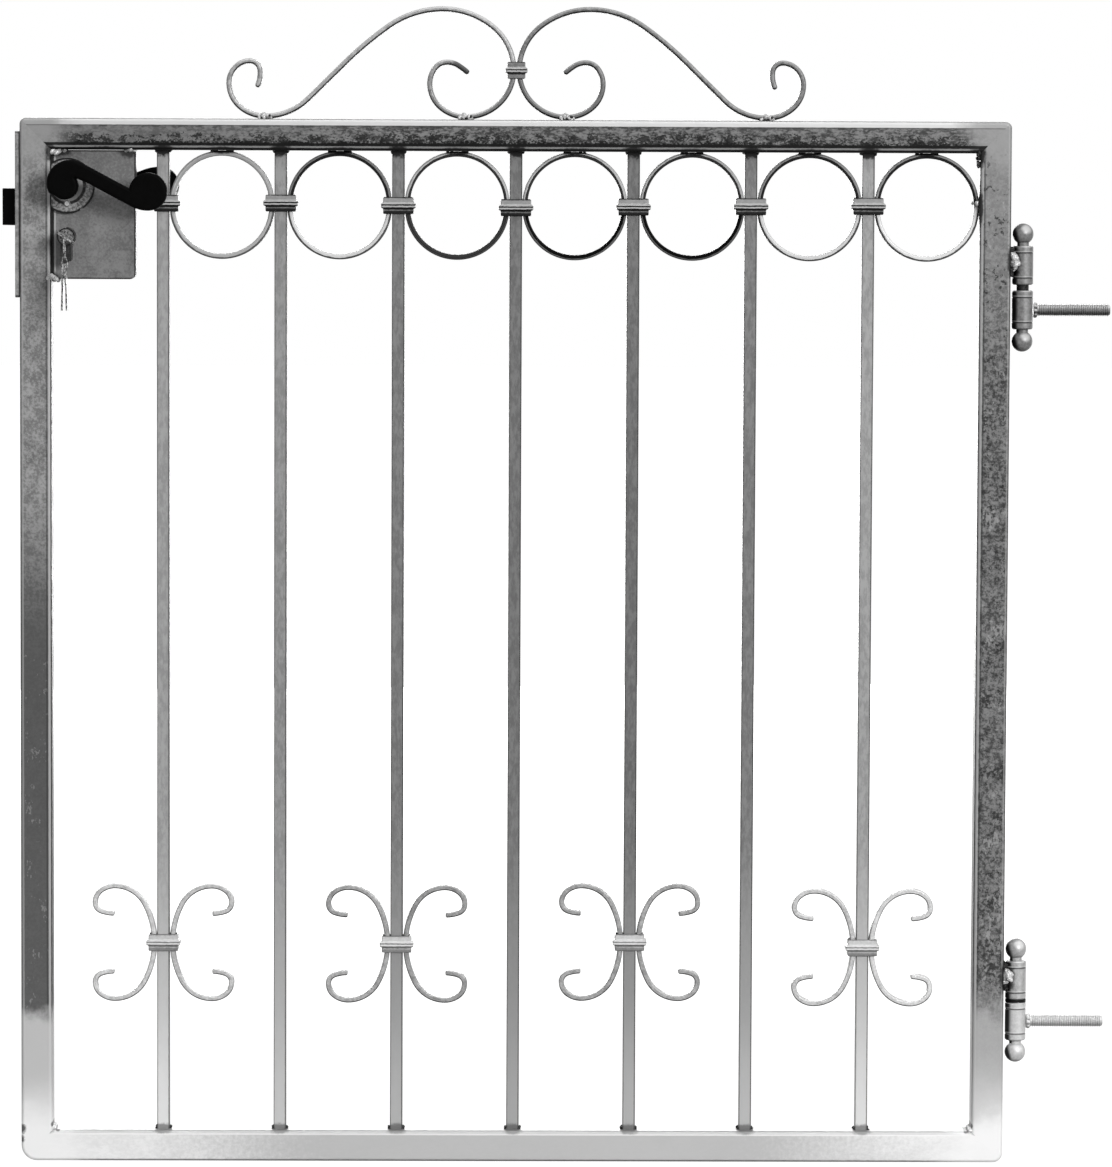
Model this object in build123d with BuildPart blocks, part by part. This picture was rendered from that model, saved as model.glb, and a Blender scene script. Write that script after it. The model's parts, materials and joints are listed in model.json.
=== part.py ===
from build123d import *
from math import asin, cos, pi, radians, sin, sqrt
import os

# Pedestrian gate of square steel tube and bar with forged scrolls, a lift-off hinge pair and a lever lock.
# Millimetres. +X points into the hinge post, +Z up, the front of the gate faces -Y.
# The origin is where the lower hinge stud leaves the weld at its barrel, on the stud's own axis.

# Leaf frame and bars
bar_count = 7
bar_side = 12.0
bar_gap = 100.0
bar_edge_radius = 0.8
leaf_height = 1000.0
tube_side = 30.0
tube_wall = 2.0
tube_edge_radius = 3.0
lock_top_radius = 6.0
hinge_top_radius = 6.0
lock_bottom_radius = 15.0
hinge_bottom_radius = 9.0

# Forged ornament: rings, scrolls and their collars
weld_gap = 0.2
ring_thickness = 5.0
ring_oval = 1.8
scroll_thickness = 5.0
scroll_height = 209.4
scroll_strays = (1.0, 0.0, 2.2, -2.4)
scroll_curl = (46.5, 54.5)
scroll_reach = (65.5, 38.5)
scroll_tip = (47.0, 28.0)
collar_height = 16.0
ring_collar_rises = (1.3, 1.8, -0.1, -1.7, -0.6, 0.2, 1.0)
collar_wall = 2.5
collar_fit = 0.1
collar_corner_radius = 1.0
ridge_height = 5.0
ridge_proud = 2.0
crest_height = 107.5
crest_apex_x = 70.0
crest_collar_height = 47.0
crest_slope = (165.0, 52.0)
crest_slope_angle = 135
crest_foot_x = 239.0
crest_reach = (273.5, 34.0)
crest_curl = (253.5, 55.0)
crest_tip = (247.0, 30.0)
crest_tip_angle = 117
crest_inner_foot_x = 48.0
crest_inner_reach = (82.5, 34.0)
crest_inner_curl = (66.0, 54.5)
crest_inner_tip = (45.5, 44.0)
crest_inner_tip_angle = 222

# Hinges
barrel_radius = 10.0
barrel_length = 37.0
barrel_band = 6.5
barrel_groove = 0.6
barrel_chamfer = 1.2
neck_radius = 5.75
ball_radius = 10.0
ball_reach = 21.5
hinge_offset = 12.5
lower_stud_height = 136.0
stud_spacing = 685.0
stud_radius = 6.0
stud_length = 70.0
stud_chamfer = 1.5
stud_root_length = 4.0
stud_root_radius = 8.0
pin_radius = 6.0
pin_seat = 25.0
pin_engagement = 34.0
pin_end_room = 1.5
running_clearance = 0.06
washer_thickness = 2.8
upper_hinge_gap = 5.5
lug_height = 17.0
lug_width = 9.0
lug_rise = 13.0

# Lock case, forend and latch
case_width_inside = 80.3
case_height = 122.5
case_depth = 20.0
case_wall = 2.0
case_top_gap = 0.4
case_corner_radius = 6.0
window_fit = 0.2
post_radius = 4.0
post_inset = 8.0
post_screw_room = 5.0
case_screw_radius = 1.5
case_screw_head_radius = 3.0
case_screw_length = 12.0
screw_fit = 0.05
sink_angle = 82
recess_reach = 0.7
recess_breadth = 0.3
forend_thickness = 4.5
forend_height = 158.0
forend_width = 24.0
forend_screw_inset = 6.0
forend_screw_radius = 2.5
forend_screw_head_radius = 4.5
forend_screw_length = 14.0
lever_inset = 15.0
lever_drop = 34.2
latch_height = 35.0
latch_thickness = 14.0
latch_throw = 13.0
latch_tail = 20.0
latch_top_rise = -2.9
latch_bevel_land = 4.0
latch_fit = 0.2
hook_thickness = 6.0
spring_radius = 4.0
spring_wire = 1.0
spring_turns = 8
spring_drop = 23.0
spring_seat = 0.3
abutment_width = 6.0
abutment_inset = 9.5

# Lever set
follower_radius = 11.0
follower_thickness = 12.0
journal_radius = 8.0
arm_reach = 20.0
arm_nose_radius = 3.0
arm_thickness = 8.0
lug_play = 0.6
spindle_side = 8.0
spindle_fit = 0.05
spindle_length = 68.0
rose_radius = 26.5
rose_thickness = 3.5
rose_notch = 4.0
rose_notch_angle = -57
rose_screw_spread = 17.0
rose_screw_radius = 1.75
rose_screw_head_radius = 3.3
rose_screw_head_height = 2.2
rose_screw_head_taper = 30
rose_screw_bite = 1.0
lever_neck_radius = 10.0
lever_neck_length = 24.5
lever_depth = 16.0
lever_edge_radius = 3.0
lever_hub_radius = 12.7
lever_head = (5.0, 3.0)
lever_head_radius = 21.8
lever_run_angle = -28
lever_run_length = 57.0
lever_curl_angle = 25
back_lever_shift = (7.0, 5.0)
lever_end = (78.8, -4.9)
lever_end_radius = 18.0
lever_underside = ((19.5, 4.2), (9.0, 8.0), (-3.4, -11.5))

# Profile cylinder and keys
cylinder_drop = 48.3
cylinder_length = 60.0
head_radius = 8.5
lobe_width = 10.0
profile_height = 33.0
cylinder_fit = 0.15
plug_radius = 6.5
cam_radius = 15.2
cam_hub_radius = 7.5
cam_width = 9.6
cam_tooth = 8.0
cam_room = 0.3
fixing_screw_radius = 2.5
fixing_screw_head_radius = 4.5
key_thickness = 1.8
key_blade_width = 8.0
key_blade_length = 21.0
key_bow = 20.5
key_bow_radius = 6.0
key_neck = 3.0
key_hole_radius = 5.0
key_hole_edge = 2.5
key_fit = 0.1
key_cuts = 5
key_blade_end = 5.5
key_cut_depth = 2.0
key_cut_shallow = 1.0
key_tilt = 34.0
key_ring_radius = 11.5
key_ring_wire = 1.6
key_ring_tilt = 48.0
key_link_wire = 1.2
key_link_length = 6.0
hang_gap = 0.3
spare_key_splay = 1.6

os.makedirs("parts", exist_ok=True)

# Places worked out from the sizes above
hinge_x = -(barrel_radius + stud_root_length)
leaf_right = hinge_x - hinge_offset
leaf_width = 2 * tube_side + bar_count * bar_side + (bar_count + 1) * bar_gap
leaf_left = leaf_right - leaf_width
leaf_bottom = -lower_stud_height
leaf_top = leaf_bottom + leaf_height
leaf_mid_x = (leaf_left + leaf_right) / 2
leaf_mid_z = (leaf_bottom + leaf_top) / 2
opening_left = leaf_left + tube_side
opening_right = leaf_right - tube_side
opening_low = leaf_bottom + tube_side
opening_high = leaf_top - tube_side
bar_pitch = bar_side + bar_gap
bar_xs = [opening_left + bar_gap + bar_side / 2 + bar_pitch * step for step in range(bar_count)]
ring_radius = bar_gap / 2 - weld_gap
ring_inside = ring_radius - ring_thickness
ring_z = opening_high - weld_gap - ring_radius - ring_oval


def upright(x, z, front=0.0):
    """Plane that faces the front, with its own axes along X and Z."""
    return Plane(origin=(x, -front, z), x_dir=(1, 0, 0), z_dir=(0, -1, 0))


def sideways(x, y, z):
    """Plane that faces the lock post, with its own y axis along Z."""
    return Plane(origin=(x, y, z), x_dir=(0, -1, 0), z_dir=(-1, 0, 0))


def heading(angle):
    """Unit vector in the drawing plane at an angle from its x axis."""
    return Vector(cos(radians(angle)), sin(radians(angle)))


def biarc_knot(start, start_tangent, end, end_tangent):
    """Point and tangent where two arcs meet that leave start and reach end along the given tangents."""
    chord = end - start
    turn = start_tangent + end_tangent
    spare = 2 * (1 - start_tangent.dot(end_tangent))
    along = chord.dot(turn)
    if spare < 1e-9:
        reach = chord.dot(chord) / (4 * chord.dot(end_tangent))
    else:
        reach = (-along + sqrt(along**2 + spare * chord.dot(chord))) / spare
    first_corner = start + start_tangent * reach
    second_corner = end - end_tangent * reach
    return (first_corner + second_corner) / 2, (second_corner - first_corner).normalized()


def with_biarcs(stations):
    """Stations, each a point and a tangent, with the meeting point of each pair of arcs put between them."""
    knots = [stations[0]]
    for (start, start_tangent), (end, end_tangent) in zip(stations, stations[1:]):
        knots.append(biarc_knot(start, start_tangent, end, end_tangent))
        knots.append((end, end_tangent))
    return knots


def bulge(knots, index, half_height):
    """How far the arc that leaves a knot has moved sideways after half_height along its tangent."""
    start, tangent = knots[index]
    chord = knots[index + 1][0] - start
    radius = chord.dot(chord) / (2 * chord.cross(tangent).length)
    return radius - sqrt(radius**2 - half_height**2)


def flat_bar_scroll(stations, plane):
    """Flat bar bent on edge along tangent arcs, as deep as the square bars."""
    knots = with_biarcs(stations)
    with BuildPart() as scroll:
        with BuildSketch(plane):
            with BuildLine():
                sides = []
                for side in (1, -1):
                    points = []
                    for point, tangent in knots:
                        points.append(point + tangent.rotate(Axis.Z, 90) * (side * scroll_thickness / 2))
                    for start, end, (_, tangent) in zip(points, points[1:], knots):
                        TangentArc(start, end, tangent=tangent)
                    sides.append(points)
                Line(sides[0][0], sides[1][0])
                Line(sides[0][-1], sides[1][-1])
            make_face()
        extrude(amount=bar_side / 2, both=True)
    return scroll.part


def collar(left, right, middle_z):
    """Forged band with a central ridge, closed round what stands between left and right."""
    depth = bar_side + 2 * collar_fit
    with BuildPart() as band:
        for height, proud in ((collar_height, 0), (ridge_height, ridge_proud)):
            grow = 2 * (collar_wall + proud)
            with BuildSketch(Plane.XY.offset(middle_z - height / 2)):
                with Locations(((left + right) / 2, 0)):
                    RectangleRounded(right - left + grow, depth + grow, collar_corner_radius)
                    Rectangle(right - left, depth, mode=Mode.SUBTRACT)
            extrude(amount=height)
    return band.part


# Leaf frame, first as one ring of tube, then cut at the mitres into its four members
def frame_ring(inset):
    """The frame's outer form, or with an inset of one wall the hollow inside it."""
    half_width = leaf_width / 2
    half_height = leaf_height / 2
    corners = (
        (-half_width, half_height, lock_top_radius),
        (half_width, half_height, hinge_top_radius),
        (-half_width, -half_height, lock_bottom_radius),
        (half_width, -half_height, hinge_bottom_radius),
    )
    with BuildPart() as ring:
        with BuildSketch(upright(leaf_mid_x, leaf_mid_z)) as face:
            Rectangle(leaf_width - 2 * inset, leaf_height - 2 * inset)
            for x, z, radius in corners:
                fillet(face.vertices().sort_by_distance((x, z))[0], radius - inset)
            hole_width = leaf_width - 2 * tube_side + 2 * inset
            hole_height = leaf_height - 2 * tube_side + 2 * inset
            Rectangle(hole_width, hole_height, mode=Mode.SUBTRACT)
        extrude(amount=tube_side / 2 - inset, both=True)
        fillet(ring.faces().filter_by(Axis.Y).edges(), tube_edge_radius - inset)
    return ring.part


frame_outside = frame_ring(0)
frame_hollow = frame_ring(tube_wall)


def frame_member(*outline):
    """The stretch of frame tube inside an outline whose slanted sides are the mitres."""
    with BuildPart() as member:
        add(frame_outside)
        add(frame_hollow, mode=Mode.SUBTRACT)
        with BuildSketch(Plane.XZ):
            Polygon(*outline, align=None)
        extrude(amount=tube_side, both=True, mode=Mode.INTERSECT)
    return member.part


outer_lock_low = (leaf_left, leaf_bottom)
outer_lock_high = (leaf_left, leaf_top)
outer_hinge_low = (leaf_right, leaf_bottom)
outer_hinge_high = (leaf_right, leaf_top)
inner_lock_low = (opening_left, opening_low)
inner_lock_high = (opening_left, opening_high)
inner_hinge_low = (opening_right, opening_low)
inner_hinge_high = (opening_right, opening_high)

with BuildPart() as top_rail:
    add(frame_member(outer_lock_high, outer_hinge_high, inner_hinge_high, inner_lock_high))
top_rail.part.label = "top_rail"
export_step(top_rail.part, "parts/top_rail.step")

with BuildPart() as bottom_rail:
    add(frame_member(outer_lock_low, outer_hinge_low, inner_hinge_low, inner_lock_low))
bottom_rail.part.label = "bottom_rail"
export_step(bottom_rail.part, "parts/bottom_rail.step")

with BuildPart() as hinge_stile:
    add(frame_member(outer_hinge_low, outer_hinge_high, inner_hinge_high, inner_hinge_low))
hinge_stile.part.label = "hinge_stile"
export_step(hinge_stile.part, "parts/hinge_stile.step")

# Places of the lock
case_left = leaf_left
case_right = opening_left + case_width_inside
case_top = opening_high - case_top_gap
case_bottom = case_top - case_height
case_mid_x = (case_left + case_right) / 2
case_mid_z = (case_bottom + case_top) / 2
case_half = case_depth / 2
forend_outside = leaf_left - forend_thickness
forend_mid_z = case_mid_z
lever_x = opening_left + lever_inset
lever_z = opening_high - lever_drop
cylinder_z = lever_z - cylinder_drop
fixing_screw_z = cylinder_z - (profile_height - head_radius - lobe_width / 2)
latch_top = lever_z + latch_top_rise
latch_bottom = latch_top - latch_height
latch_mid_z = (latch_top + latch_bottom) / 2
latch_tip = forend_outside - latch_throw
latch_back = leaf_left + latch_tail
forend_screw_zs = [
    forend_mid_z + end * (forend_height / 2 - forend_screw_inset) for end in (1, -1)
]
rose_screw_zs = [lever_z + end * rose_screw_spread for end in (1, -1)]

with BuildPart() as lock_stile:
    add(frame_member(outer_lock_low, outer_lock_high, inner_lock_high, inner_lock_low))
    with Locations((leaf_left + tube_side / 2, 0, case_mid_z)):
        Box(
            2 * tube_side,
            case_depth + 2 * window_fit,
            case_height + 2 * window_fit,
            mode=Mode.SUBTRACT,
        )
    for screw_z in forend_screw_zs:
        with BuildSketch(sideways(leaf_left, 0, screw_z)):
            Circle(forend_screw_radius + screw_fit)
        extrude(amount=-2 * tube_wall, mode=Mode.SUBTRACT)
lock_stile.part.label = "lock_stile"
export_step(lock_stile.part, "parts/lock_stile.step")

# Infill bars
for number, x in enumerate(bar_xs, start=1):
    with BuildPart() as bar:
        with BuildSketch(Plane.XY.offset(opening_low)):
            with Locations((x, 0)):
                RectangleRounded(bar_side, bar_side, bar_edge_radius)
        extrude(amount=opening_high - opening_low)
    bar.part.label = f"bar_{number}"
    export_step(bar.part, f"parts/bar_{number}.step")

# Rings in every gap but the one beside the lock, tight under the top rail and pressed a little oval
for number, x in enumerate(bar_xs, start=1):
    with BuildPart() as ring:
        with BuildSketch(upright(x + bar_pitch / 2, ring_z)):
            SlotCenterToCenter(2 * ring_oval, 2 * ring_radius, rotation=90)
            SlotCenterToCenter(2 * ring_oval, 2 * ring_inside, rotation=90, mode=Mode.SUBTRACT)
        extrude(amount=bar_side / 2, both=True)
    ring.part.label = f"ring_{number}"
    export_step(ring.part, f"parts/ring_{number}.step")

# Collars that tie each bar to the rings beside it; the first bar has a ring on one side only
most_rise = max(abs(rise) for rise in ring_collar_rises)
ring_bend = max(collar_height / 2 + most_rise - ring_oval, 0)
ring_reach = bar_pitch / 2 - sqrt(ring_inside**2 - ring_bend**2) + collar_fit
with BuildPart() as ring_collars:
    for number, x in enumerate(bar_xs):
        left_reach = bar_side / 2 + collar_fit if x == bar_xs[0] else ring_reach
        collar_z = ring_z + ring_collar_rises[number % len(ring_collar_rises)]
        add(collar(x - left_reach, x + ring_reach, collar_z))
ring_collars.part.label = "ring_collars"
export_step(ring_collars.part, "parts/ring_collars.step")

# C scrolls back to back on every other bar
scroll_back_x = bar_side / 2 + weld_gap + scroll_thickness / 2
scroll_half = [
    (scroll_back_x, 0.0, 90),
    (*scroll_curl, 0),
    (*scroll_reach, -90),
    (*scroll_tip, 180),
]
scroll_path = [(x, -z, 180 - angle) for x, z, angle in reversed(scroll_half[1:])] + scroll_half
scroll_bar_numbers = range(1, bar_count + 1, 2)
scroll_zs = {}
for number in scroll_bar_numbers:
    stray = scroll_strays[number // 2 % len(scroll_strays)]
    scroll_zs[number] = leaf_bottom + scroll_height + stray
for number in scroll_bar_numbers:
    for side_name, side in (("right", 1), ("left", -1)):
        stations = []
        for x, z, angle in scroll_path:
            stations.append((Vector(side * x, z), heading(angle if side > 0 else 180 - angle)))
        with BuildPart() as c_scroll:
            add(flat_bar_scroll(stations, upright(bar_xs[number - 1], scroll_zs[number])))
        c_scroll.part.label = f"c_scroll_{number}_{side_name}"
        export_step(c_scroll.part, f"parts/c_scroll_{number}_{side_name}.step")

scroll_knots = with_biarcs([(Vector(x, z), heading(angle)) for x, z, angle in scroll_half])
scroll_side = scroll_back_x + scroll_thickness / 2 + bulge(scroll_knots, 0, collar_height / 2)
with BuildPart() as scroll_collars:
    for number in scroll_bar_numbers:
        reach = scroll_side + collar_fit
        add(collar(bar_xs[number - 1] - reach, bar_xs[number - 1] + reach, scroll_zs[number]))
scroll_collars.part.label = "scroll_collars"
export_step(scroll_collars.part, "parts/scroll_collars.step")

# Crest on the top rail: two S scrolls, mirrored about the middle and tied by one collar
crest_foot = scroll_thickness / 2 + weld_gap / 2
crest_back_x = scroll_thickness / 2 + weld_gap / 2
crest_outer = [
    (*crest_tip, crest_tip_angle),
    (*crest_curl, 0),
    (*crest_reach, -90),
    (crest_foot_x, crest_foot, 180),
    (*crest_slope, crest_slope_angle),
    (crest_apex_x, crest_height - scroll_thickness / 2, 180),
]
crest_inner = [
    (crest_back_x, crest_collar_height, 270),
    (crest_inner_foot_x, crest_foot, 0),
    (*crest_inner_reach, 90),
    (*crest_inner_curl, 180),
    (*crest_inner_tip, crest_inner_tip_angle),
]
crest_path = crest_outer + crest_inner
for side_name, side in (("right", 1), ("left", -1)):
    stations = []
    for x, z, angle in crest_path:
        stations.append((Vector(side * x, z), heading(angle if side > 0 else 180 - angle)))
    with BuildPart() as top_scroll:
        add(flat_bar_scroll(stations, upright(leaf_mid_x, leaf_top)))
    top_scroll.part.label = f"top_scroll_{side_name}"
    export_step(top_scroll.part, f"parts/top_scroll_{side_name}.step")

crest_knots = with_biarcs([(Vector(x, z), heading(angle)) for x, z, angle in crest_path])
crest_collar_knot = 2 * len(crest_outer)
crest_bulge = max(
    bulge(crest_knots, crest_collar_knot, collar_height / 2),
    bulge(list(reversed(crest_knots)), len(crest_knots) - 1 - crest_collar_knot, collar_height / 2),
)
crest_side = crest_back_x + scroll_thickness / 2 + crest_bulge + collar_fit
with BuildPart() as top_collar:
    add(collar(leaf_mid_x - crest_side, leaf_mid_x + crest_side, leaf_top + crest_collar_height))
top_collar.part.label = "top_collar"
export_step(top_collar.part, "parts/top_collar.step")


# Hinges: a turned barrel with a ball finial on the post and one on the leaf, on a pin
def turned_barrel(plain_end_z, ball_up):
    """Barrel with two banded ends and a ball beyond its far end, upwards or downwards."""
    ball_middle = barrel_length + ball_reach - ball_radius
    neck_end = ball_middle - sqrt(ball_radius**2 - neck_radius**2)
    profile = [(0, 0), (barrel_radius - barrel_chamfer, 0), (barrel_radius, barrel_chamfer)]
    for middle in (barrel_band, barrel_length - barrel_band):
        profile.append((barrel_radius, middle - barrel_groove))
        profile.append((barrel_radius - barrel_groove, middle))
        profile.append((barrel_radius, middle + barrel_groove))
    profile.append((barrel_radius, barrel_length - barrel_chamfer))
    profile.append((barrel_radius - barrel_chamfer, barrel_length))
    profile.append((neck_radius, barrel_length))
    profile.append((neck_radius, neck_end))
    turning_plane = Plane(
        origin=(hinge_x, 0, plain_end_z), x_dir=(1, 0, 0), z_dir=(0, -1 if ball_up else 1, 0)
    )
    with BuildPart() as barrel:
        with BuildSketch(turning_plane):
            with BuildLine():
                Polyline(*profile)
                ball_top = (0, ball_middle + ball_radius)
                ThreePointArc(profile[-1], (ball_radius, ball_middle), ball_top)
                Line(ball_top, (0, 0))
            make_face()
        revolve(axis=Axis((hinge_x, 0, 0), (0, 0, 1)))
    return barrel.part


hinge_zs = {"lower": 0.0, "upper": stud_spacing}
hinge_gaps = {"lower": washer_thickness, "upper": upper_hinge_gap}
pin_rise = washer_thickness + pin_engagement
bore_depth = pin_engagement + pin_end_room
for level, stud_z in hinge_zs.items():
    post_top = stud_z + barrel_length / 2
    leaf_low = post_top + hinge_gaps[level]

    with BuildPart() as post_barrel:
        add(turned_barrel(post_top, ball_up=False))
        with BuildSketch(Plane.XY.offset(post_top)):
            with Locations((hinge_x, 0)):
                Circle(pin_radius)
        extrude(amount=-pin_seat, mode=Mode.SUBTRACT)
    post_barrel.part.label = f"{level}_post_barrel"
    export_step(post_barrel.part, f"parts/{level}_post_barrel.step")

    with BuildPart() as leaf_barrel:
        add(turned_barrel(leaf_low, ball_up=True))
        lug_inside = hinge_x - (barrel_radius + pin_radius) / 2
        with BuildSketch(Plane.XY.offset(leaf_low + lug_rise)):
            with Locations(((leaf_right + lug_inside) / 2, 0)):
                Rectangle(lug_inside - leaf_right, lug_width)
        extrude(amount=lug_height)
        with BuildSketch(Plane.XY.offset(leaf_low)):
            with Locations((hinge_x, 0)):
                Circle(pin_radius + running_clearance)
        extrude(amount=bore_depth, mode=Mode.SUBTRACT)
    leaf_barrel.part.label = f"{level}_leaf_barrel"
    export_step(leaf_barrel.part, f"parts/{level}_leaf_barrel.step")

    with BuildPart() as stud:
        stud_plane = Plane(origin=(0, 0, stud_z), x_dir=(0, 1, 0), z_dir=(1, 0, 0))
        with BuildSketch(stud_plane):
            Circle(stud_radius)
        extrude(amount=stud_length)
        chamfer(stud.faces().sort_by(Axis.X)[-1].edges(), stud_chamfer)
        with BuildSketch(stud_plane):
            Circle(stud_radius)
        with BuildSketch(stud_plane.offset(-stud_root_length)):
            Circle(stud_root_radius)
        loft()
        with BuildSketch(stud_plane.offset(-stud_root_length)):
            Circle(stud_root_radius)
        extrude(amount=-barrel_radius)
        with BuildSketch(Plane.XY.offset(stud_z - barrel_length / 2)):
            with Locations((hinge_x, 0)):
                Circle(barrel_radius)
        extrude(amount=barrel_length, mode=Mode.SUBTRACT)
    stud.part.label = f"{level}_stud"
    export_step(stud.part, f"parts/{level}_stud.step")

with BuildPart() as hinge_pins:
    for stud_z in hinge_zs.values():
        with BuildSketch(Plane.XY.offset(stud_z + barrel_length / 2 - pin_seat)):
            with Locations((hinge_x, 0)):
                Circle(pin_radius)
        extrude(amount=pin_seat + pin_rise)
hinge_pins.part.label = "hinge_pins"
export_step(hinge_pins.part, "parts/hinge_pins.step")

with BuildPart() as thrust_washer:
    with BuildSketch(Plane.XY.offset(barrel_length / 2)):
        with Locations((hinge_x, 0)):
            Circle(barrel_radius)
            Circle(pin_radius + running_clearance, mode=Mode.SUBTRACT)
    extrude(amount=washer_thickness)
thrust_washer.part.label = "thrust_washer"
export_step(thrust_washer.part, "parts/thrust_washer.step")


# Lock case: a tray that is plain in front, with its cover behind
def euro_profile(grow):
    """Round head over a narrow lobe, as a profile cylinder has, about the plug's axis."""
    lobe_middle = profile_height - head_radius - lobe_width / 2
    with BuildSketch() as profile:
        Circle(head_radius + grow)
        with Locations((0, -lobe_middle / 2)):
            Rectangle(lobe_width + 2 * grow, lobe_middle)
        with Locations((0, -lobe_middle)):
            Circle(lobe_width / 2 + grow)
    return profile.sketch


def case_outline(inset):
    """Case outline seen from the front, rounded at the corner away from the rail and the stile."""
    width = case_right - case_left - 2 * inset
    height = case_height - 2 * inset
    with BuildSketch() as outline:
        Rectangle(width, height)
        fillet(outline.vertices().sort_by_distance((width, -height))[0], case_corner_radius - inset)
    return outline.sketch


def case_holes(plane_front, depth):
    """The follower, cylinder and rose screw holes of one side of the case."""
    with BuildPart() as holes:
        with BuildSketch(upright(lever_x, lever_z, plane_front)):
            Circle(journal_radius + running_clearance)
            with Locations(*[(0, z - lever_z) for z in rose_screw_zs]):
                Circle(rose_screw_radius + screw_fit)
        extrude(amount=-depth)
        with BuildSketch(upright(lever_x, cylinder_z, plane_front)):
            add(euro_profile(cylinder_fit))
        extrude(amount=-depth)
    return holes.part


post_left_x = case_left + post_inset
post_right_x = case_right - post_inset
post_high_z = case_top - post_inset
post_over_screw_z = fixing_screw_z + fixing_screw_radius + post_screw_room + post_radius
post_places = [
    (post_left_x, post_over_screw_z),
    (post_left_x, post_high_z),
    (post_right_x, case_bottom + post_inset),
    (post_right_x, post_high_z),
]
spring_z = lever_z - spring_drop
abutment_x = lever_x + abutment_inset

with BuildPart() as lock_case:
    with BuildSketch(upright(case_mid_x, case_mid_z, case_half)):
        add(case_outline(0))
    extrude(amount=-(case_depth - case_wall))
    with BuildSketch(upright(case_mid_x, case_mid_z, case_half - case_wall)):
        add(case_outline(case_wall))
    extrude(amount=-case_depth, mode=Mode.SUBTRACT)
    with BuildSketch(upright(0, 0, case_half - case_wall)):
        with Locations(*post_places):
            Circle(post_radius)
        with Locations((abutment_x + abutment_width / 2, spring_z)):
            Rectangle(abutment_width, 2 * spring_radius + case_wall)
    extrude(amount=-(case_depth - 2 * case_wall))
    with BuildSketch(upright(0, 0, -(case_half - case_wall))):
        with Locations(*post_places):
            Circle(case_screw_radius + screw_fit)
    extrude(amount=case_screw_length, mode=Mode.SUBTRACT)
    add(case_holes(case_half, case_wall), mode=Mode.SUBTRACT)
    with Locations((case_left, 0, latch_mid_z)):
        Box(
            4 * case_wall,
            latch_thickness + 2 * latch_fit,
            latch_height + 2 * latch_fit,
            mode=Mode.SUBTRACT,
        )
    with BuildSketch(sideways(case_left, 0, fixing_screw_z)):
        Circle(fixing_screw_radius + screw_fit)
    extrude(amount=-2 * case_wall, mode=Mode.SUBTRACT)
lock_case.part.label = "lock_case"
export_step(lock_case.part, "parts/lock_case.step")

case_screw_places = [upright(x, z, -case_half).rotated((180, 0, 0)) for x, z in post_places]
with BuildPart() as lock_cover:
    with BuildSketch(upright(case_mid_x, case_mid_z, -(case_half - case_wall))):
        add(case_outline(0))
    extrude(amount=-case_wall)
    add(case_holes(-(case_half - case_wall), case_wall), mode=Mode.SUBTRACT)
    with Locations(*case_screw_places):
        CounterSinkHole(
            case_screw_radius + screw_fit,
            case_screw_head_radius + screw_fit,
            depth=case_wall,
            counter_sink_angle=sink_angle,
        )
lock_cover.part.label = "lock_cover"
export_step(lock_cover.part, "parts/lock_cover.step")


def countersunk_screw(plane, radius, head_radius_out, length):
    """Flat-headed screw with a cross slot, its head flush with the plane and its shank behind it."""
    half_angle = radians(sink_angle / 2)
    head_depth = (head_radius_out - radius) * cos(half_angle) / sin(half_angle)
    recess_length = 2 * recess_reach * head_radius_out
    recess_width = recess_breadth * head_radius_out
    with BuildPart() as screw:
        with BuildSketch(plane):
            Circle(radius)
        extrude(amount=-length)
        with BuildSketch(plane):
            Circle(head_radius_out)
        with BuildSketch(plane.offset(-head_depth)):
            Circle(radius)
        loft()
        with BuildSketch(plane):
            Rectangle(recess_length, recess_width)
            Rectangle(recess_width, recess_length)
        extrude(amount=-head_depth / 2, mode=Mode.SUBTRACT)
    return screw.part


with BuildPart() as case_screws:
    for place in case_screw_places:
        add(countersunk_screw(place, case_screw_radius, case_screw_head_radius, case_screw_length))
case_screws.part.label = "case_screws"
export_step(case_screws.part, "parts/case_screws.step")

with BuildPart() as forend_plate:
    with Locations((leaf_left - forend_thickness / 2, 0, forend_mid_z)):
        Box(forend_thickness, forend_width, forend_height)
    with Locations((leaf_left, 0, latch_mid_z)):
        Box(
            4 * forend_thickness,
            latch_thickness + 2 * latch_fit,
            latch_height + 2 * latch_fit,
            mode=Mode.SUBTRACT,
        )
    with Locations(*[sideways(forend_outside, 0, z) for z in forend_screw_zs]):
        CounterSinkHole(
            forend_screw_radius + screw_fit,
            forend_screw_head_radius + screw_fit,
            depth=forend_thickness,
            counter_sink_angle=sink_angle,
        )
    with Locations(sideways(forend_outside, 0, fixing_screw_z)):
        CounterSinkHole(
            fixing_screw_radius + screw_fit,
            fixing_screw_head_radius + screw_fit,
            depth=forend_thickness,
            counter_sink_angle=sink_angle,
        )
forend_plate.part.label = "forend_plate"
export_step(forend_plate.part, "parts/forend_plate.step")

with BuildPart() as forend_screws:
    for screw_z in forend_screw_zs:
        place = sideways(forend_outside, 0, screw_z)
        add(countersunk_screw(place, forend_screw_radius, forend_screw_head_radius, forend_screw_length))
forend_screws.part.label = "forend_screws"
export_step(forend_screws.part, "parts/forend_screws.step")

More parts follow.
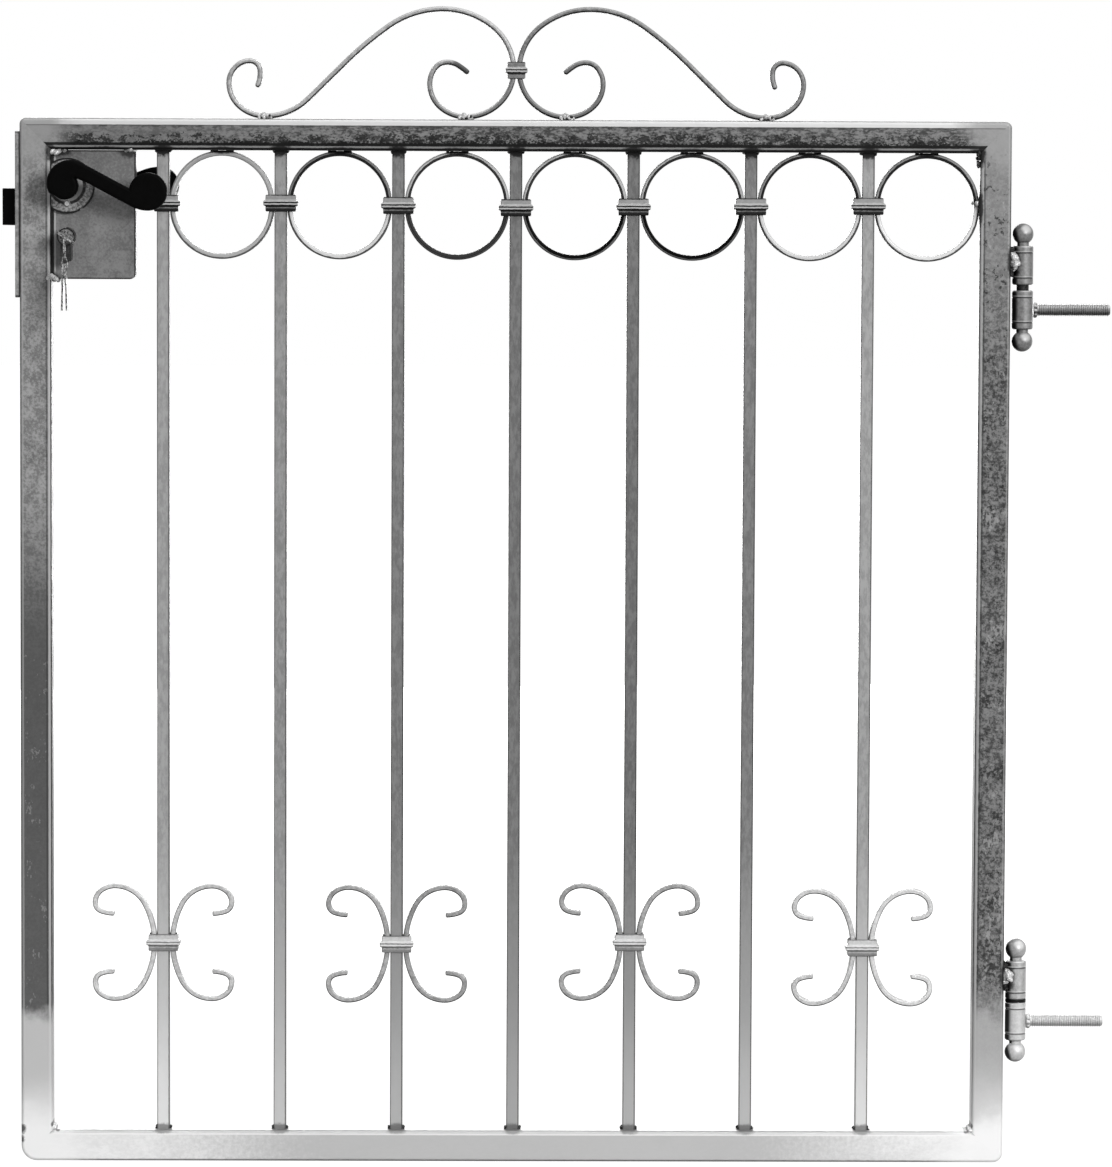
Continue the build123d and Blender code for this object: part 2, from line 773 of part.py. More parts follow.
# Latch: a head bevelled on its front, with a hook that reaches over the follower's arm
nose_z = lever_z + arm_reach
hook_low = nose_z + arm_nose_radius + latch_fit + lug_play
hook_high = hook_low + hook_thickness
hook_lug_x = lever_x + arm_nose_radius + lug_play
riser_x = latch_back - hook_thickness
with BuildPart() as latch_bolt:
    with BuildSketch(Plane.XY.offset(latch_bottom)):
        Polygon(
            (latch_back, -latch_thickness / 2),
            (forend_outside, -latch_thickness / 2),
            (latch_tip, latch_thickness / 2 - latch_bevel_land),
            (latch_tip, latch_thickness / 2),
            (latch_back, latch_thickness / 2),
            align=None,
        )
    extrude(amount=latch_height)
    with BuildSketch(upright(0, 0)):
        Polygon(
            (riser_x, latch_top - hook_thickness),
            (riser_x, hook_high),
            (hook_lug_x + hook_thickness, hook_high),
            (hook_lug_x + hook_thickness, nose_z - hook_thickness),
            (hook_lug_x, nose_z - hook_thickness),
            (hook_lug_x, hook_low),
            (latch_back, hook_low),
            (latch_back, latch_top - hook_thickness),
            align=None,
        )
    extrude(amount=hook_thickness / 2, both=True)
latch_bolt.part.label = "latch_bolt"
export_step(latch_bolt.part, "parts/latch_bolt.step")

# Latch spring: a coil of quarter turns, each a pair of arcs, between the latch and the abutment
spring_length = abutment_x - latch_back - 2 * spring_seat
coil_radius = spring_radius - spring_wire / 2
coil_rise = (spring_length - spring_wire) / spring_turns
coil_stations = []
for quarter in range(4 * spring_turns + 1):
    angle = radians(90 * quarter)
    coil_x = latch_back + spring_seat + spring_wire / 2 + coil_rise * quarter / 4
    place = Vector(coil_x, coil_radius * cos(angle), spring_z + coil_radius * sin(angle))
    pace = Vector(coil_rise / (2 * pi), -coil_radius * sin(angle), coil_radius * cos(angle))
    coil_stations.append((place, pace.normalized()))
coil_knots = with_biarcs(coil_stations)
with BuildPart() as latch_spring:
    with BuildLine() as coil:
        for (start, tangent), (end, _) in zip(coil_knots, coil_knots[1:]):
            TangentArc(start, end, tangent=tangent)
    with BuildSketch(Plane(origin=coil_knots[0][0], z_dir=coil_knots[0][1])):
        Circle(spring_wire / 2)
    sweep(path=coil.line)
half_turn = 12
coil_steps = 2 * half_turn * spring_turns
coil_points = [coil.line @ (step / coil_steps) for step in range(coil_steps + 1)]
coil_spans = []
for step, point in enumerate(coil_points):
    coil_spans += [(other - point).length for other in coil_points[step + half_turn :]]
print("latch spring's least gap to itself", round(min(coil_spans) - spring_wire, 2))
latch_spring.part.label = "latch_spring"
export_step(latch_spring.part, "parts/latch_spring.step")

# Follower, spindle and roses
with BuildPart() as follower:
    with BuildSketch(upright(lever_x, lever_z)):
        Circle(follower_radius)
    extrude(amount=follower_thickness / 2, both=True)
    with BuildSketch(upright(lever_x, lever_z)):
        Circle(journal_radius)
    extrude(amount=case_half, both=True)
    with BuildSketch(upright(lever_x, lever_z)):
        with Locations((0, arm_reach / 2)):
            Rectangle(2 * arm_nose_radius, arm_reach)
        with Locations((0, arm_reach)):
            Circle(arm_nose_radius)
    extrude(amount=arm_thickness / 2, both=True)
    with BuildSketch(upright(lever_x, lever_z)):
        Rectangle(spindle_side + 2 * spindle_fit, spindle_side + 2 * spindle_fit)
    extrude(amount=case_depth, both=True, mode=Mode.SUBTRACT)
follower.part.label = "follower"
export_step(follower.part, "parts/follower.step")

with BuildPart() as spindle:
    with BuildSketch(upright(lever_x, lever_z)):
        Rectangle(spindle_side, spindle_side)
    extrude(amount=spindle_length / 2, both=True)
spindle.part.label = "spindle"
export_step(spindle.part, "parts/spindle.step")

# Front and back sets are alike, the back one turned half a turn about the X axis and a little longer
rose_cut_x = lever_inset - window_fit
for side_name, side in (("front", 1), ("back", -1)):
    rose_plane = Plane(
        origin=(lever_x, -side * case_half, lever_z), x_dir=(1, 0, 0), z_dir=(0, -side, 0)
    )
    with BuildPart() as rose:
        with BuildSketch(rose_plane):
            Circle(rose_radius)
            with Locations((-rose_cut_x - rose_radius, 0)):
                Rectangle(2 * rose_radius, 2 * rose_radius, mode=Mode.SUBTRACT)
            with Locations(heading(rose_notch_angle) * rose_radius):
                Circle(rose_notch / 2, mode=Mode.SUBTRACT)
            Circle(lever_neck_radius + running_clearance, mode=Mode.SUBTRACT)
            with Locations((0, rose_screw_spread), (0, -rose_screw_spread)):
                Circle(rose_screw_radius + screw_fit, mode=Mode.SUBTRACT)
        extrude(amount=rose_thickness)
    rose.part.label = f"{side_name}_rose"
    export_step(rose.part, f"parts/{side_name}_rose.step")

    head_turn = 90 - lever_run_angle
    shift = Vector(*back_lever_shift) if side_name == "back" else Vector()
    head_arc_end = Vector(*lever_head) + heading(180 - head_turn) * lever_head_radius
    head_arc_start = Vector(*lever_head) + heading(180 + lever_curl_angle) * lever_head_radius
    run_end = head_arc_end + heading(lever_run_angle) * lever_run_length + shift
    end_middle = Vector(*lever_end) + shift
    end_low = end_middle - Vector(0, lever_end_radius)
    run_way = (run_end - head_arc_end).normalized()
    run_fall = (end_low.Y - lever_underside[0][1]) / run_way.Y
    corner = Vector(*lever_underside[0]) + run_way * run_fall
    underside_start = corner - run_way * (end_low - corner).length
    with BuildPart() as lever:
        with BuildSketch(rose_plane.offset(rose_thickness + lever_neck_length)):
            with BuildLine():
                CenterArc(lever_head, lever_head_radius, 180 - head_turn, head_turn + lever_curl_angle)
                Polyline(head_arc_end, run_end, end_middle, end_low)
                TangentArc(end_low, underside_start, tangent=(-1, 0))
                Polyline(underside_start, *lever_underside, head_arc_start)
            make_face()
            Circle(lever_hub_radius)
            with Locations(end_middle):
                Circle(lever_end_radius)
        extrude(amount=lever_depth)
        outer_face = lever.faces().sort_by(Axis.Y)[0 if side > 0 else -1]
        fillet(outer_face.edges(), lever_edge_radius)
        with BuildSketch(rose_plane.offset(running_clearance)):
            Circle(lever_neck_radius)
        extrude(amount=rose_thickness + lever_neck_length)
        with BuildSketch(rose_plane.offset(running_clearance)):
            Rectangle(spindle_side + 2 * spindle_fit, spindle_side + 2 * spindle_fit)
        extrude(amount=spindle_length / 2 - case_half + spindle_fit, mode=Mode.SUBTRACT)
    lever.part.label = f"{side_name}_lever"
    export_step(lever.part, f"parts/{side_name}_lever.step")

with BuildPart() as rose_screws:
    for side in (1, -1):
        rose_face = Plane(
            origin=(lever_x, -side * (case_half + rose_thickness), lever_z),
            x_dir=(1, 0, 0),
            z_dir=(0, -side, 0),
        )
        with BuildSketch(rose_face):
            with Locations((0, rose_screw_spread), (0, -rose_screw_spread)):
                Circle(rose_screw_radius)
        extrude(amount=-(rose_thickness + case_wall + rose_screw_bite))
        with BuildSketch(rose_face):
            with Locations((0, rose_screw_spread), (0, -rose_screw_spread)):
                Circle(rose_screw_head_radius)
        extrude(amount=rose_screw_head_height, taper=rose_screw_head_taper)
rose_screws.part.label = "rose_screws"
export_step(rose_screws.part, "parts/rose_screws.step")

# Profile cylinder with its turning plug, the key in it and the spare keys that hang from that key
cylinder_half = cylinder_length / 2
cam_slot_half = cam_width / 2 + cam_room
with BuildPart() as lock_cylinder:
    with BuildSketch(upright(lever_x, cylinder_z)):
        add(euro_profile(0))
    extrude(amount=cylinder_half, both=True)
    with BuildSketch(upright(lever_x, cylinder_z)):
        Circle(plug_radius + running_clearance)
    extrude(amount=cylinder_half, both=True, mode=Mode.SUBTRACT)
    with BuildSketch(upright(lever_x, cylinder_z)):
        Circle(cam_radius + cam_room)
    extrude(amount=cam_slot_half, both=True, mode=Mode.SUBTRACT)
    with BuildSketch(sideways(lever_x, 0, fixing_screw_z)):
        Circle(fixing_screw_radius + screw_fit)
    extrude(amount=lobe_width, both=True, mode=Mode.SUBTRACT)
lock_cylinder.part.label = "lock_cylinder"
export_step(lock_cylinder.part, "parts/lock_cylinder.step")

with BuildPart() as cylinder_screw:
    screw_length = lever_x + lobe_width / 2 - forend_outside
    place = sideways(forend_outside, 0, fixing_screw_z)
    add(countersunk_screw(place, fixing_screw_radius, fixing_screw_head_radius, screw_length))
cylinder_screw.part.label = "cylinder_screw"
export_step(cylinder_screw.part, "parts/cylinder_screw.step")

key_across = heading(-key_tilt)
key_normal = heading(90 - key_tilt)
key_plane = Plane(
    origin=(lever_x, 0, cylinder_z),
    x_dir=(key_across.X, 0, key_across.Y),
    z_dir=(key_normal.X, 0, key_normal.Y),
)
key_shoulder = -cylinder_half
with BuildPart() as cylinder_plug:
    with BuildSketch(upright(lever_x, cylinder_z)):
        Circle(plug_radius)
    extrude(amount=cylinder_half, both=True)
    with BuildSketch(Plane(origin=key_plane.origin, x_dir=key_plane.x_dir, z_dir=(0, -1, 0))):
        Circle(cam_hub_radius)
        with Locations((0, cam_radius / 2)):
            Rectangle(cam_tooth, cam_radius)
        Circle(cam_radius, mode=Mode.INTERSECT)
    extrude(amount=cam_width / 2, both=True)
    slot_half = key_blade_length + key_fit
    with BuildSketch(key_plane):
        for end in (1, -1):
            with Locations((0, end * (cylinder_half - slot_half / 2))):
                Rectangle(key_blade_width + 2 * key_fit, slot_half)
    extrude(amount=key_thickness / 2 + key_fit, both=True, mode=Mode.SUBTRACT)
cylinder_plug.part.label = "cylinder_plug"
export_step(cylinder_plug.part, "parts/cylinder_plug.step")


def key_blank(plane):
    """Flat key in a plane: its shoulder at the plane's origin, its blade along +y and its bow along -y."""
    bow_middle = -key_neck - key_bow / 2
    hole_middle = -key_neck - key_bow + key_hole_edge + key_hole_radius
    cut_pitch = (key_blade_length - key_blade_end) / key_cuts
    with BuildPart() as key:
        with BuildSketch(plane):
            with Locations((0, key_blade_length / 2)):
                Rectangle(key_blade_width, key_blade_length)
            with Locations((0, -key_neck)):
                Rectangle(key_blade_width + key_neck, 2 * key_neck)
            with Locations((0, bow_middle)):
                RectangleRounded(key_bow, key_bow, key_bow_radius)
            with Locations((0, hole_middle)):
                Circle(key_hole_radius, mode=Mode.SUBTRACT)
            for cut in range(key_cuts):
                depth = key_cut_shallow if cut % 2 else key_cut_depth
                middle = cut_pitch * (cut + 1)
                edge = key_blade_width / 2
                Polygon(
                    (edge + depth, middle - cut_pitch / 2),
                    (edge - depth, middle),
                    (edge + depth, middle + cut_pitch / 2),
                    align=None,
                    mode=Mode.SUBTRACT,
                )
        extrude(amount=key_thickness / 2, both=True)
    return key.part


with BuildPart() as lock_key:
    add(key_blank(Plane(key_plane.location * Location((0, key_shoulder, 0)))))
lock_key.part.label = "lock_key"
export_step(lock_key.part, "parts/lock_key.step")

# The ring hangs in the bow's hole and round its end, with room for the key to turn; a pear-shaped link
# hangs from the ring and holds the spare keys side by side
bow_end = key_shoulder - key_neck - key_bow
ring_y = bow_end + key_hole_edge / 2
ring_rise = (key_thickness / 2 + key_ring_wire / 2 + hang_gap) / cos(radians(key_ring_tilt))
key_ring_z = cylinder_z + ring_rise - key_ring_radius
key_swing = (key_hole_edge + 2 * key_hole_radius) * sin(radians(spare_key_splay))
link_top_radius = key_ring_wire / 2 + hang_gap + key_link_wire / 2
link_room = key_thickness + hang_gap + key_swing
link_bottom_radius = link_room + key_link_wire / 2
link_top_z = key_ring_z - key_ring_radius + key_ring_wire / 2 + key_link_wire / 2 + hang_gap
link_lower_z = link_top_z - link_top_radius - key_link_length
link_slant = asin((link_bottom_radius - link_top_radius) / key_link_length)
top_x = link_top_radius * cos(link_slant)
top_z = key_link_length + link_top_radius * sin(link_slant)
low_x = link_bottom_radius * cos(link_slant)
low_z = link_bottom_radius * sin(link_slant)
with BuildPart() as key_ring:
    with Locations(Location((lever_x, ring_y, key_ring_z), (0, 90, 0))):
        Torus(key_ring_radius, key_ring_wire / 2)
    with BuildLine(upright(lever_x, link_lower_z, -ring_y)) as link:
        ThreePointArc((top_x, top_z), (0, key_link_length + link_top_radius), (-top_x, top_z))
        Line((-top_x, top_z), (-low_x, low_z))
        ThreePointArc((-low_x, low_z), (0, -link_bottom_radius), (low_x, low_z))
        Line((low_x, low_z), (top_x, top_z))
    with BuildSketch(Plane(origin=link.line @ 0, z_dir=link.line % 0)):
        Circle(key_link_wire / 2)
    sweep(path=link.line)
key_ring.part.label = "key_ring"
export_step(key_ring.part, "parts/key_ring.step")

# Each spare key's bow rests on the link where its outer side meets the bend
hole_to_shoulder = key_neck + key_bow - key_hole_edge - key_hole_radius
spare_lean = sin(radians(spare_key_splay))
spare_key_x = (key_thickness + hang_gap) / 2 + (key_hole_edge + key_hole_radius) * spare_lean
outer_side_x = spare_key_x + key_thickness / 2 - key_hole_radius * spare_lean
spare_hole_z = link_lower_z - sqrt(link_room**2 - outer_side_x**2) + hang_gap - key_hole_radius
with BuildPart() as spare_keys:
    for side in (1, -1):
        hang = Plane(
            origin=(lever_x + side * spare_key_x, ring_y, spare_hole_z), x_dir=(0, 1, 0), z_dir=(-1, 0, 0)
        )
        splayed = hang.rotated((0, -side * spare_key_splay, 0))
        add(key_blank(Plane(splayed.location * Location((0, hole_to_shoulder, 0)))))
spare_keys.part.label = "spare_keys"
export_step(spare_keys.part, "parts/spare_keys.step")
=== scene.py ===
import bpy
import json
import math
import random
from mathutils import Matrix, Vector


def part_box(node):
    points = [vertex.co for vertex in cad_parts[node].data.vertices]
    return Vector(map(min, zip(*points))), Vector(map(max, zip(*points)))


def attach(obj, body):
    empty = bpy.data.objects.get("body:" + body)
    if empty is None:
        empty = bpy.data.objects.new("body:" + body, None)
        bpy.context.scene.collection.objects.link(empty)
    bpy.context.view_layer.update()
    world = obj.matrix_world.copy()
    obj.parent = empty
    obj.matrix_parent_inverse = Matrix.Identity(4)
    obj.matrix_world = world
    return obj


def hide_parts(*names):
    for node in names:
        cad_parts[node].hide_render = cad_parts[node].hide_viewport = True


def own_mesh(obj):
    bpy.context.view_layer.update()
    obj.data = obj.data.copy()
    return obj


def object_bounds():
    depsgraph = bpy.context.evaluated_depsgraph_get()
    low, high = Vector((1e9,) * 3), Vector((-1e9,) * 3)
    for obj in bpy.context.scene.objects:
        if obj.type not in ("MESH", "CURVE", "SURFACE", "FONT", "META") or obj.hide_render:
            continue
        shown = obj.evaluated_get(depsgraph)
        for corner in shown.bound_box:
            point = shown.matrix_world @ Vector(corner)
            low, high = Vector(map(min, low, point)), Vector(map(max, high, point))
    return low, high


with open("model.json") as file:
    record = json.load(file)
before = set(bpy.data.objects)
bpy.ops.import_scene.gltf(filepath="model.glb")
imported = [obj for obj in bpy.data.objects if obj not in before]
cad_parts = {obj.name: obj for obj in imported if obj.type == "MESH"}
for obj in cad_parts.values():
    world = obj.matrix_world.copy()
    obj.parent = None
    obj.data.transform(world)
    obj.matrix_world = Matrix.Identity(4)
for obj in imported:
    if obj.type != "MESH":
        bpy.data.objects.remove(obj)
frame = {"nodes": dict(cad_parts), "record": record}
cadNodes = frame["nodes"]
cadLow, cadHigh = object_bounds()
slotOf = {entry["node"]: entry["material_slot"] for entry in frame["record"]["subparts"]}
bodyOf = {node: body for body, members in frame["record"]["behaviour"]["bodies"].items() for node in members}
print("frame loaded:", len(cadNodes), "nodes")


def midOf(nodeName):  # middle of a node's box
    low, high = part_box(nodeName)
    return (low + high) / 2


barXs = [midOf(f"bar_{number}").x for number in range(1, 8)]
barSpacing = barXs[1] - barXs[0]
ringGap = barXs[0] + barSpacing / 2
openingLow, openingHigh = (corner.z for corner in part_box("bar_1"))
leafLow = Vector((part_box("lock_stile")[0].x, 0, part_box("bottom_rail")[0].z))
leafHigh = Vector((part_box("hinge_stile")[1].x, 0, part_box("top_rail")[1].z))
leafMidX = (leafLow.x + leafHigh.x) / 2
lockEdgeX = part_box("lock_stile")[1].x  # edges of the stiles at the opening
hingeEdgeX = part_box("hinge_stile")[0].x
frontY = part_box("lock_stile")[0].y
lastRing = midOf("ring_7")


def clearSelection():
    bpy.ops.object.select_all(action="DESELECT")


def makeActive(piece):
    clearSelection()
    piece.select_set(True)
    bpy.context.view_layer.objects.active = piece


def nameActive(name):
    piece = bpy.context.object
    piece.name = name
    piece.data.name = name
    return piece


def settle(piece):  # place, turn and size go into the mesh
    makeActive(piece)
    bpy.ops.object.transform_apply(location=True, rotation=True, scale=True)


def applyModifiers(piece):
    makeActive(piece)
    for step in list(piece.modifiers):
        bpy.ops.object.modifier_apply(modifier=step.name)


def editAll(piece):  # edit mode with the whole piece selected
    makeActive(piece)
    bpy.ops.object.mode_set(mode="EDIT")
    bpy.ops.mesh.select_all(action="SELECT")


def leaveEdit():
    bpy.ops.object.mode_set(mode="OBJECT")


def joinPieces(name, pieces):
    makeActive(pieces[0])
    for piece in pieces:
        piece.select_set(True)
    bpy.ops.object.join()
    return nameActive(name)


def ownCopy(source, name):  # a copy with its own mesh
    piece = bpy.data.objects.new(name, source.data.copy())
    bpy.context.collection.objects.link(piece)
    piece.data.name = name
    return piece


def giveFinish(piece, material):
    piece.data.materials.clear()
    piece.data.materials.append(material)


def seat(piece, body, material):
    giveFinish(piece, material)
    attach(piece, body)


def grey(level):  # screen level 0 to 255 as a shader colour
    share = level / 255
    linear = share / 12.92 if share <= 0.04045 else ((share + 0.055) / 1.055) ** 2.4
    return (linear, linear, linear, 1)


def feed(tree, socket, value):
    if isinstance(value, bpy.types.NodeSocket):
        tree.links.new(value, socket)
    else:
        socket.default_value = value


def calc(tree, operation, *values):
    node = tree.nodes.new("ShaderNodeMath")
    node.operation = operation
    for socket, value in zip(node.inputs, values):
        feed(tree, socket, value)
    return node.outputs[0]


def inverse(tree, mask):
    return calc(tree, "SUBTRACT", 1, mask)


def band(tree, value, low, high):  # smooth rise from low to high
    node = tree.nodes.new("ShaderNodeMapRange")
    node.interpolation_type = "SMOOTHSTEP"
    feed(tree, node.inputs["Value"], value)
    feed(tree, node.inputs["From Min"], low)
    feed(tree, node.inputs["From Max"], high)
    return node.outputs[0]


def noise(tree, vector, scale, detail=3, rough=0.5, twist=0):
    node = tree.nodes.new("ShaderNodeTexNoise")
    feed(tree, node.inputs["Vector"], vector)
    feed(tree, node.inputs["Scale"], scale)
    node.inputs["Detail"].default_value = detail
    node.inputs["Roughness"].default_value = rough
    node.inputs["Distortion"].default_value = twist
    return node.outputs[0]


def tint(tree, factor, under, over):
    node = tree.nodes.new("ShaderNodeMix")
    node.data_type = "RGBA"
    feed(tree, node.inputs[0], factor)
    feed(tree, node.inputs[6], under)
    feed(tree, node.inputs[7], over)
    return node.outputs[2]


def vectorStep(tree, operation, first, second):  # a dot product or a distance gives a number
    node = tree.nodes.new("ShaderNodeVectorMath")
    node.operation = operation
    feed(tree, node.inputs[0], first)
    feed(tree, node.inputs[1], second)
    return node.outputs["Value" if operation in ("DOT_PRODUCT", "DISTANCE") else "Vector"]


def split(tree, vector):
    node = tree.nodes.new("ShaderNodeSeparateXYZ")
    feed(tree, node.inputs[0], vector)
    return node.outputs


def objectCoords(tree):
    return tree.nodes.new("ShaderNodeTexCoord").outputs["Object"]


def reachOf(tree, *parts):  # length of a line that goes this far along each axis
    total = calc(tree, "MULTIPLY", parts[0], parts[0])
    for part in parts[1:]:
        total = calc(tree, "MULTIPLY_ADD", part, part, total)
    return calc(tree, "SQRT", total)


def roughen(tree, value, noiseValue, amount):  # makes the edge that a value gives ragged
    return calc(tree, "MULTIPLY_ADD", calc(tree, "SUBTRACT", noiseValue, 0.5), amount, value)


def socketKind(value):
    if isinstance(value, tuple):
        return "NodeSocketColor" if len(value) == 4 else "NodeSocketVector"
    return "NodeSocketFloat"


def newGroup(name, inputs, *masks, color=None):  # inputs with what they hold when nothing is said
    tree = bpy.data.node_groups.new(name, "ShaderNodeTree")
    for label, value in inputs.items():
        socket = tree.interface.new_socket(name=label, in_out="INPUT", socket_type=socketKind(value))
        socket.default_value = value
    if color:
        tree.interface.new_socket(name=color, in_out="OUTPUT", socket_type="NodeSocketColor")
    for label in masks:
        tree.interface.new_socket(name=label, in_out="OUTPUT", socket_type="NodeSocketFloat")
    return tree, tree.nodes.new("NodeGroupInput").outputs, tree.nodes.new("NodeGroupOutput").inputs


def buildMillFinish():  # cloudy patches, fine specks and their relief
    tree, given, result = newGroup(
        "millFinish",
        {
            "Tone": grey(120), "Dark": grey(70), "Light": grey(170), "Stretch": (1, 1, 1),
            "Patch Scale": 25, "Patch Amount": 0.5, "Speck Scale": 350, "Speck Amount": 0.4, "Roughness": 0.4,
        },
        "Roughness", "Height", color="Color",
    )
    spot = vectorStep(tree, "MULTIPLY", objectCoords(tree), given["Stretch"])
    patches = noise(tree, spot, given["Patch Scale"], 5, 0.62, 0.4)
    clouds = noise(tree, spot, calc(tree, "MULTIPLY", given["Patch Scale"], 4.3), 4, 0.6)
    specks = noise(tree, spot, given["Speck Scale"], 3, 0.7)
    patchMask = calc(tree, "MULTIPLY", band(tree, patches, 0.40, 0.66), given["Patch Amount"])
    cloudMask = calc(tree, "MULTIPLY", band(tree, clouds, 0.45, 0.72), given["Patch Amount"])
    grain = calc(tree, "MULTIPLY_ADD", specks, 0.6, calc(tree, "MULTIPLY", clouds, 0.4))
    color = tint(tree, patchMask, given["Tone"], given["Dark"])
    color = tint(tree, calc(tree, "MULTIPLY", cloudMask, 0.35), color, given["Light"])
    mottled = tint(tree, band(tree, grain, 0.41, 0.59), given["Dark"], given["Light"])
    feed(tree, result["Color"], tint(tree, given["Speck Amount"], color, mottled))
    swing = calc(tree, "MULTIPLY_ADD", clouds, 0.3, -0.15)
    feed(tree, result["Roughness"], calc(tree, "ADD", given["Roughness"], swing))
    feed(tree, result["Height"], grain)


def buildStripe():  # line across an axis, and the side past it, both a little ragged
    tree, given, result = newGroup(
        "stripe",
        {"Axis": (0, 0, 1), "At": 0, "Half": 0.001, "Soft": 0.0005, "Ragged": 0.0005, "Grain": 150},
        "Line", "Past",
    )
    spot = objectCoords(tree)
    beyond = calc(tree, "SUBTRACT", vectorStep(tree, "DOT_PRODUCT", spot, given["Axis"]), given["At"])
    beyond = roughen(tree, beyond, noise(tree, spot, given["Grain"], 4, 0.6), given["Ragged"])
    rim = calc(tree, "ADD", given["Half"], given["Soft"])
    feed(tree, result["Line"], inverse(tree, band(tree, calc(tree, "ABSOLUTE", beyond), given["Half"], rim)))
    before = calc(tree, "MULTIPLY", given["Soft"], -1)
    feed(tree, result["Past"], band(tree, beyond, before, given["Soft"]))


def buildPitting():  # small spots on one side of a line
    tree, given, result = newGroup(
        "pitting",
        {"Axis": (0, 0, 1), "At": 0, "Soft": 0.005, "Stretch": (1, 1, 1), "Scale": 300, "Least": 0.55},
        "Spots",
    )
    spot = objectCoords(tree)
    beyond = calc(tree, "SUBTRACT", vectorStep(tree, "DOT_PRODUCT", spot, given["Axis"]), given["At"])
    beyond = band(tree, beyond, calc(tree, "MULTIPLY", given["Soft"], -1), given["Soft"])
    stretched = vectorStep(tree, "MULTIPLY", spot, given["Stretch"])
    fine = noise(tree, stretched, given["Scale"], 3, 0.6)
    wide = noise(tree, stretched, calc(tree, "MULTIPLY", given["Scale"], 0.16), 3, 0.6)
    level = calc(tree, "MULTIPLY_ADD", wide, 0.5, calc(tree, "MULTIPLY", fine, 0.5))
    level = calc(tree, "MULTIPLY_ADD", calc(tree, "SUBTRACT", beyond, 1), 0.3, level)
    feed(tree, result["Spots"], band(tree, level, given["Least"], calc(tree, "ADD", given["Least"], 0.05)))


def buildRaggedMarks():  # ragged mark round a middle, repeated along x: heat marks round the welds, spatter, and darker patches
    tree, given, result = newGroup(
        "raggedMarks",
        {"Middle": (0, 0, 0), "Spacing": 10, "Reach X": 0.01, "Reach Y": 10, "Reach Z": 0.01, "Ragged": 0.8},
        "Mark",
    )
    spot = objectCoords(tree)
    away = split(tree, vectorStep(tree, "SUBTRACT", spot, given["Middle"]))
    sideways = calc(tree, "PINGPONG", away[0], calc(tree, "MULTIPLY", given["Spacing"], 0.5))
    sideways = calc(tree, "DIVIDE", sideways, given["Reach X"])
    deep = calc(tree, "DIVIDE", away[1], given["Reach Y"])
    upright = calc(tree, "DIVIDE", away[2], given["Reach Z"])
    edge = reachOf(tree, sideways, upright, deep)
    edge = roughen(tree, edge, noise(tree, spot, 260, 4, 0.6), given["Ragged"])
    feed(tree, result["Mark"], inverse(tree, band(tree, edge, 0.55, 1.15)))


def buildCornerGrind():  # ground patch on the mitred corners, upper and lower pair
    tree, given, result = newGroup(
        "cornerGrind",
        {"Low": tuple(leafLow), "High": tuple(leafHigh), "Reach": 0.05},
        "Upper", "Lower",
    )
    spot = objectCoords(tree)

    def awayFrom(corner):
        away = vectorStep(tree, "SUBTRACT", spot, corner)
        return split(tree, vectorStep(tree, "ABSOLUTE", away, (0, 0, 0)))

    fromLow = awayFrom(given["Low"])
    fromHigh = awayFrom(given["High"])
    across = calc(tree, "MINIMUM", fromLow[0], fromHigh[0])
    uneven = noise(tree, spot, 60, 5, 0.65)
    start = calc(tree, "MULTIPLY", given["Reach"], 0.5)
    end = calc(tree, "MULTIPLY", given["Reach"], 1.15)
    for label, upright in (("Upper", fromHigh[2]), ("Lower", fromLow[2])):
        wide = calc(tree, "MAXIMUM", across, upright)
        slant = calc(tree, "MULTIPLY_ADD", calc(tree, "MINIMUM", across, upright), 0.4, wide)
        edge = roughen(tree, slant, uneven, 0.04)
        feed(tree, result[label], inverse(tree, band(tree, edge, start, end)))


def buildFacing():  # surfaces turned toward a direction, for painted highlight on one side and painted shade on the other
    tree, given, result = newGroup("facing", {"Axis": (0, 0, -1), "Least": 0.2, "Most": 0.8}, "Turned")
    normal = tree.nodes.new("ShaderNodeTexCoord").outputs["Normal"]
    toward = vectorStep(tree, "DOT_PRODUCT", normal, given["Axis"])
    feed(tree, result["Turned"], band(tree, toward, given["Least"], given["Most"]))


def buildBarSides():  # painted shade on the narrow sides of flat bar, between its front and back
    tree, given, result = newGroup("barSides", {"Half Depth": 0.006, "Round": 0.0015}, "Side")
    depth = calc(tree, "ABSOLUTE", split(tree, objectCoords(tree))[1])
    start = calc(tree, "SUBTRACT", given["Half Depth"], given["Round"])
    feed(tree, result["Side"], inverse(tree, band(tree, depth, start, given["Half Depth"])))


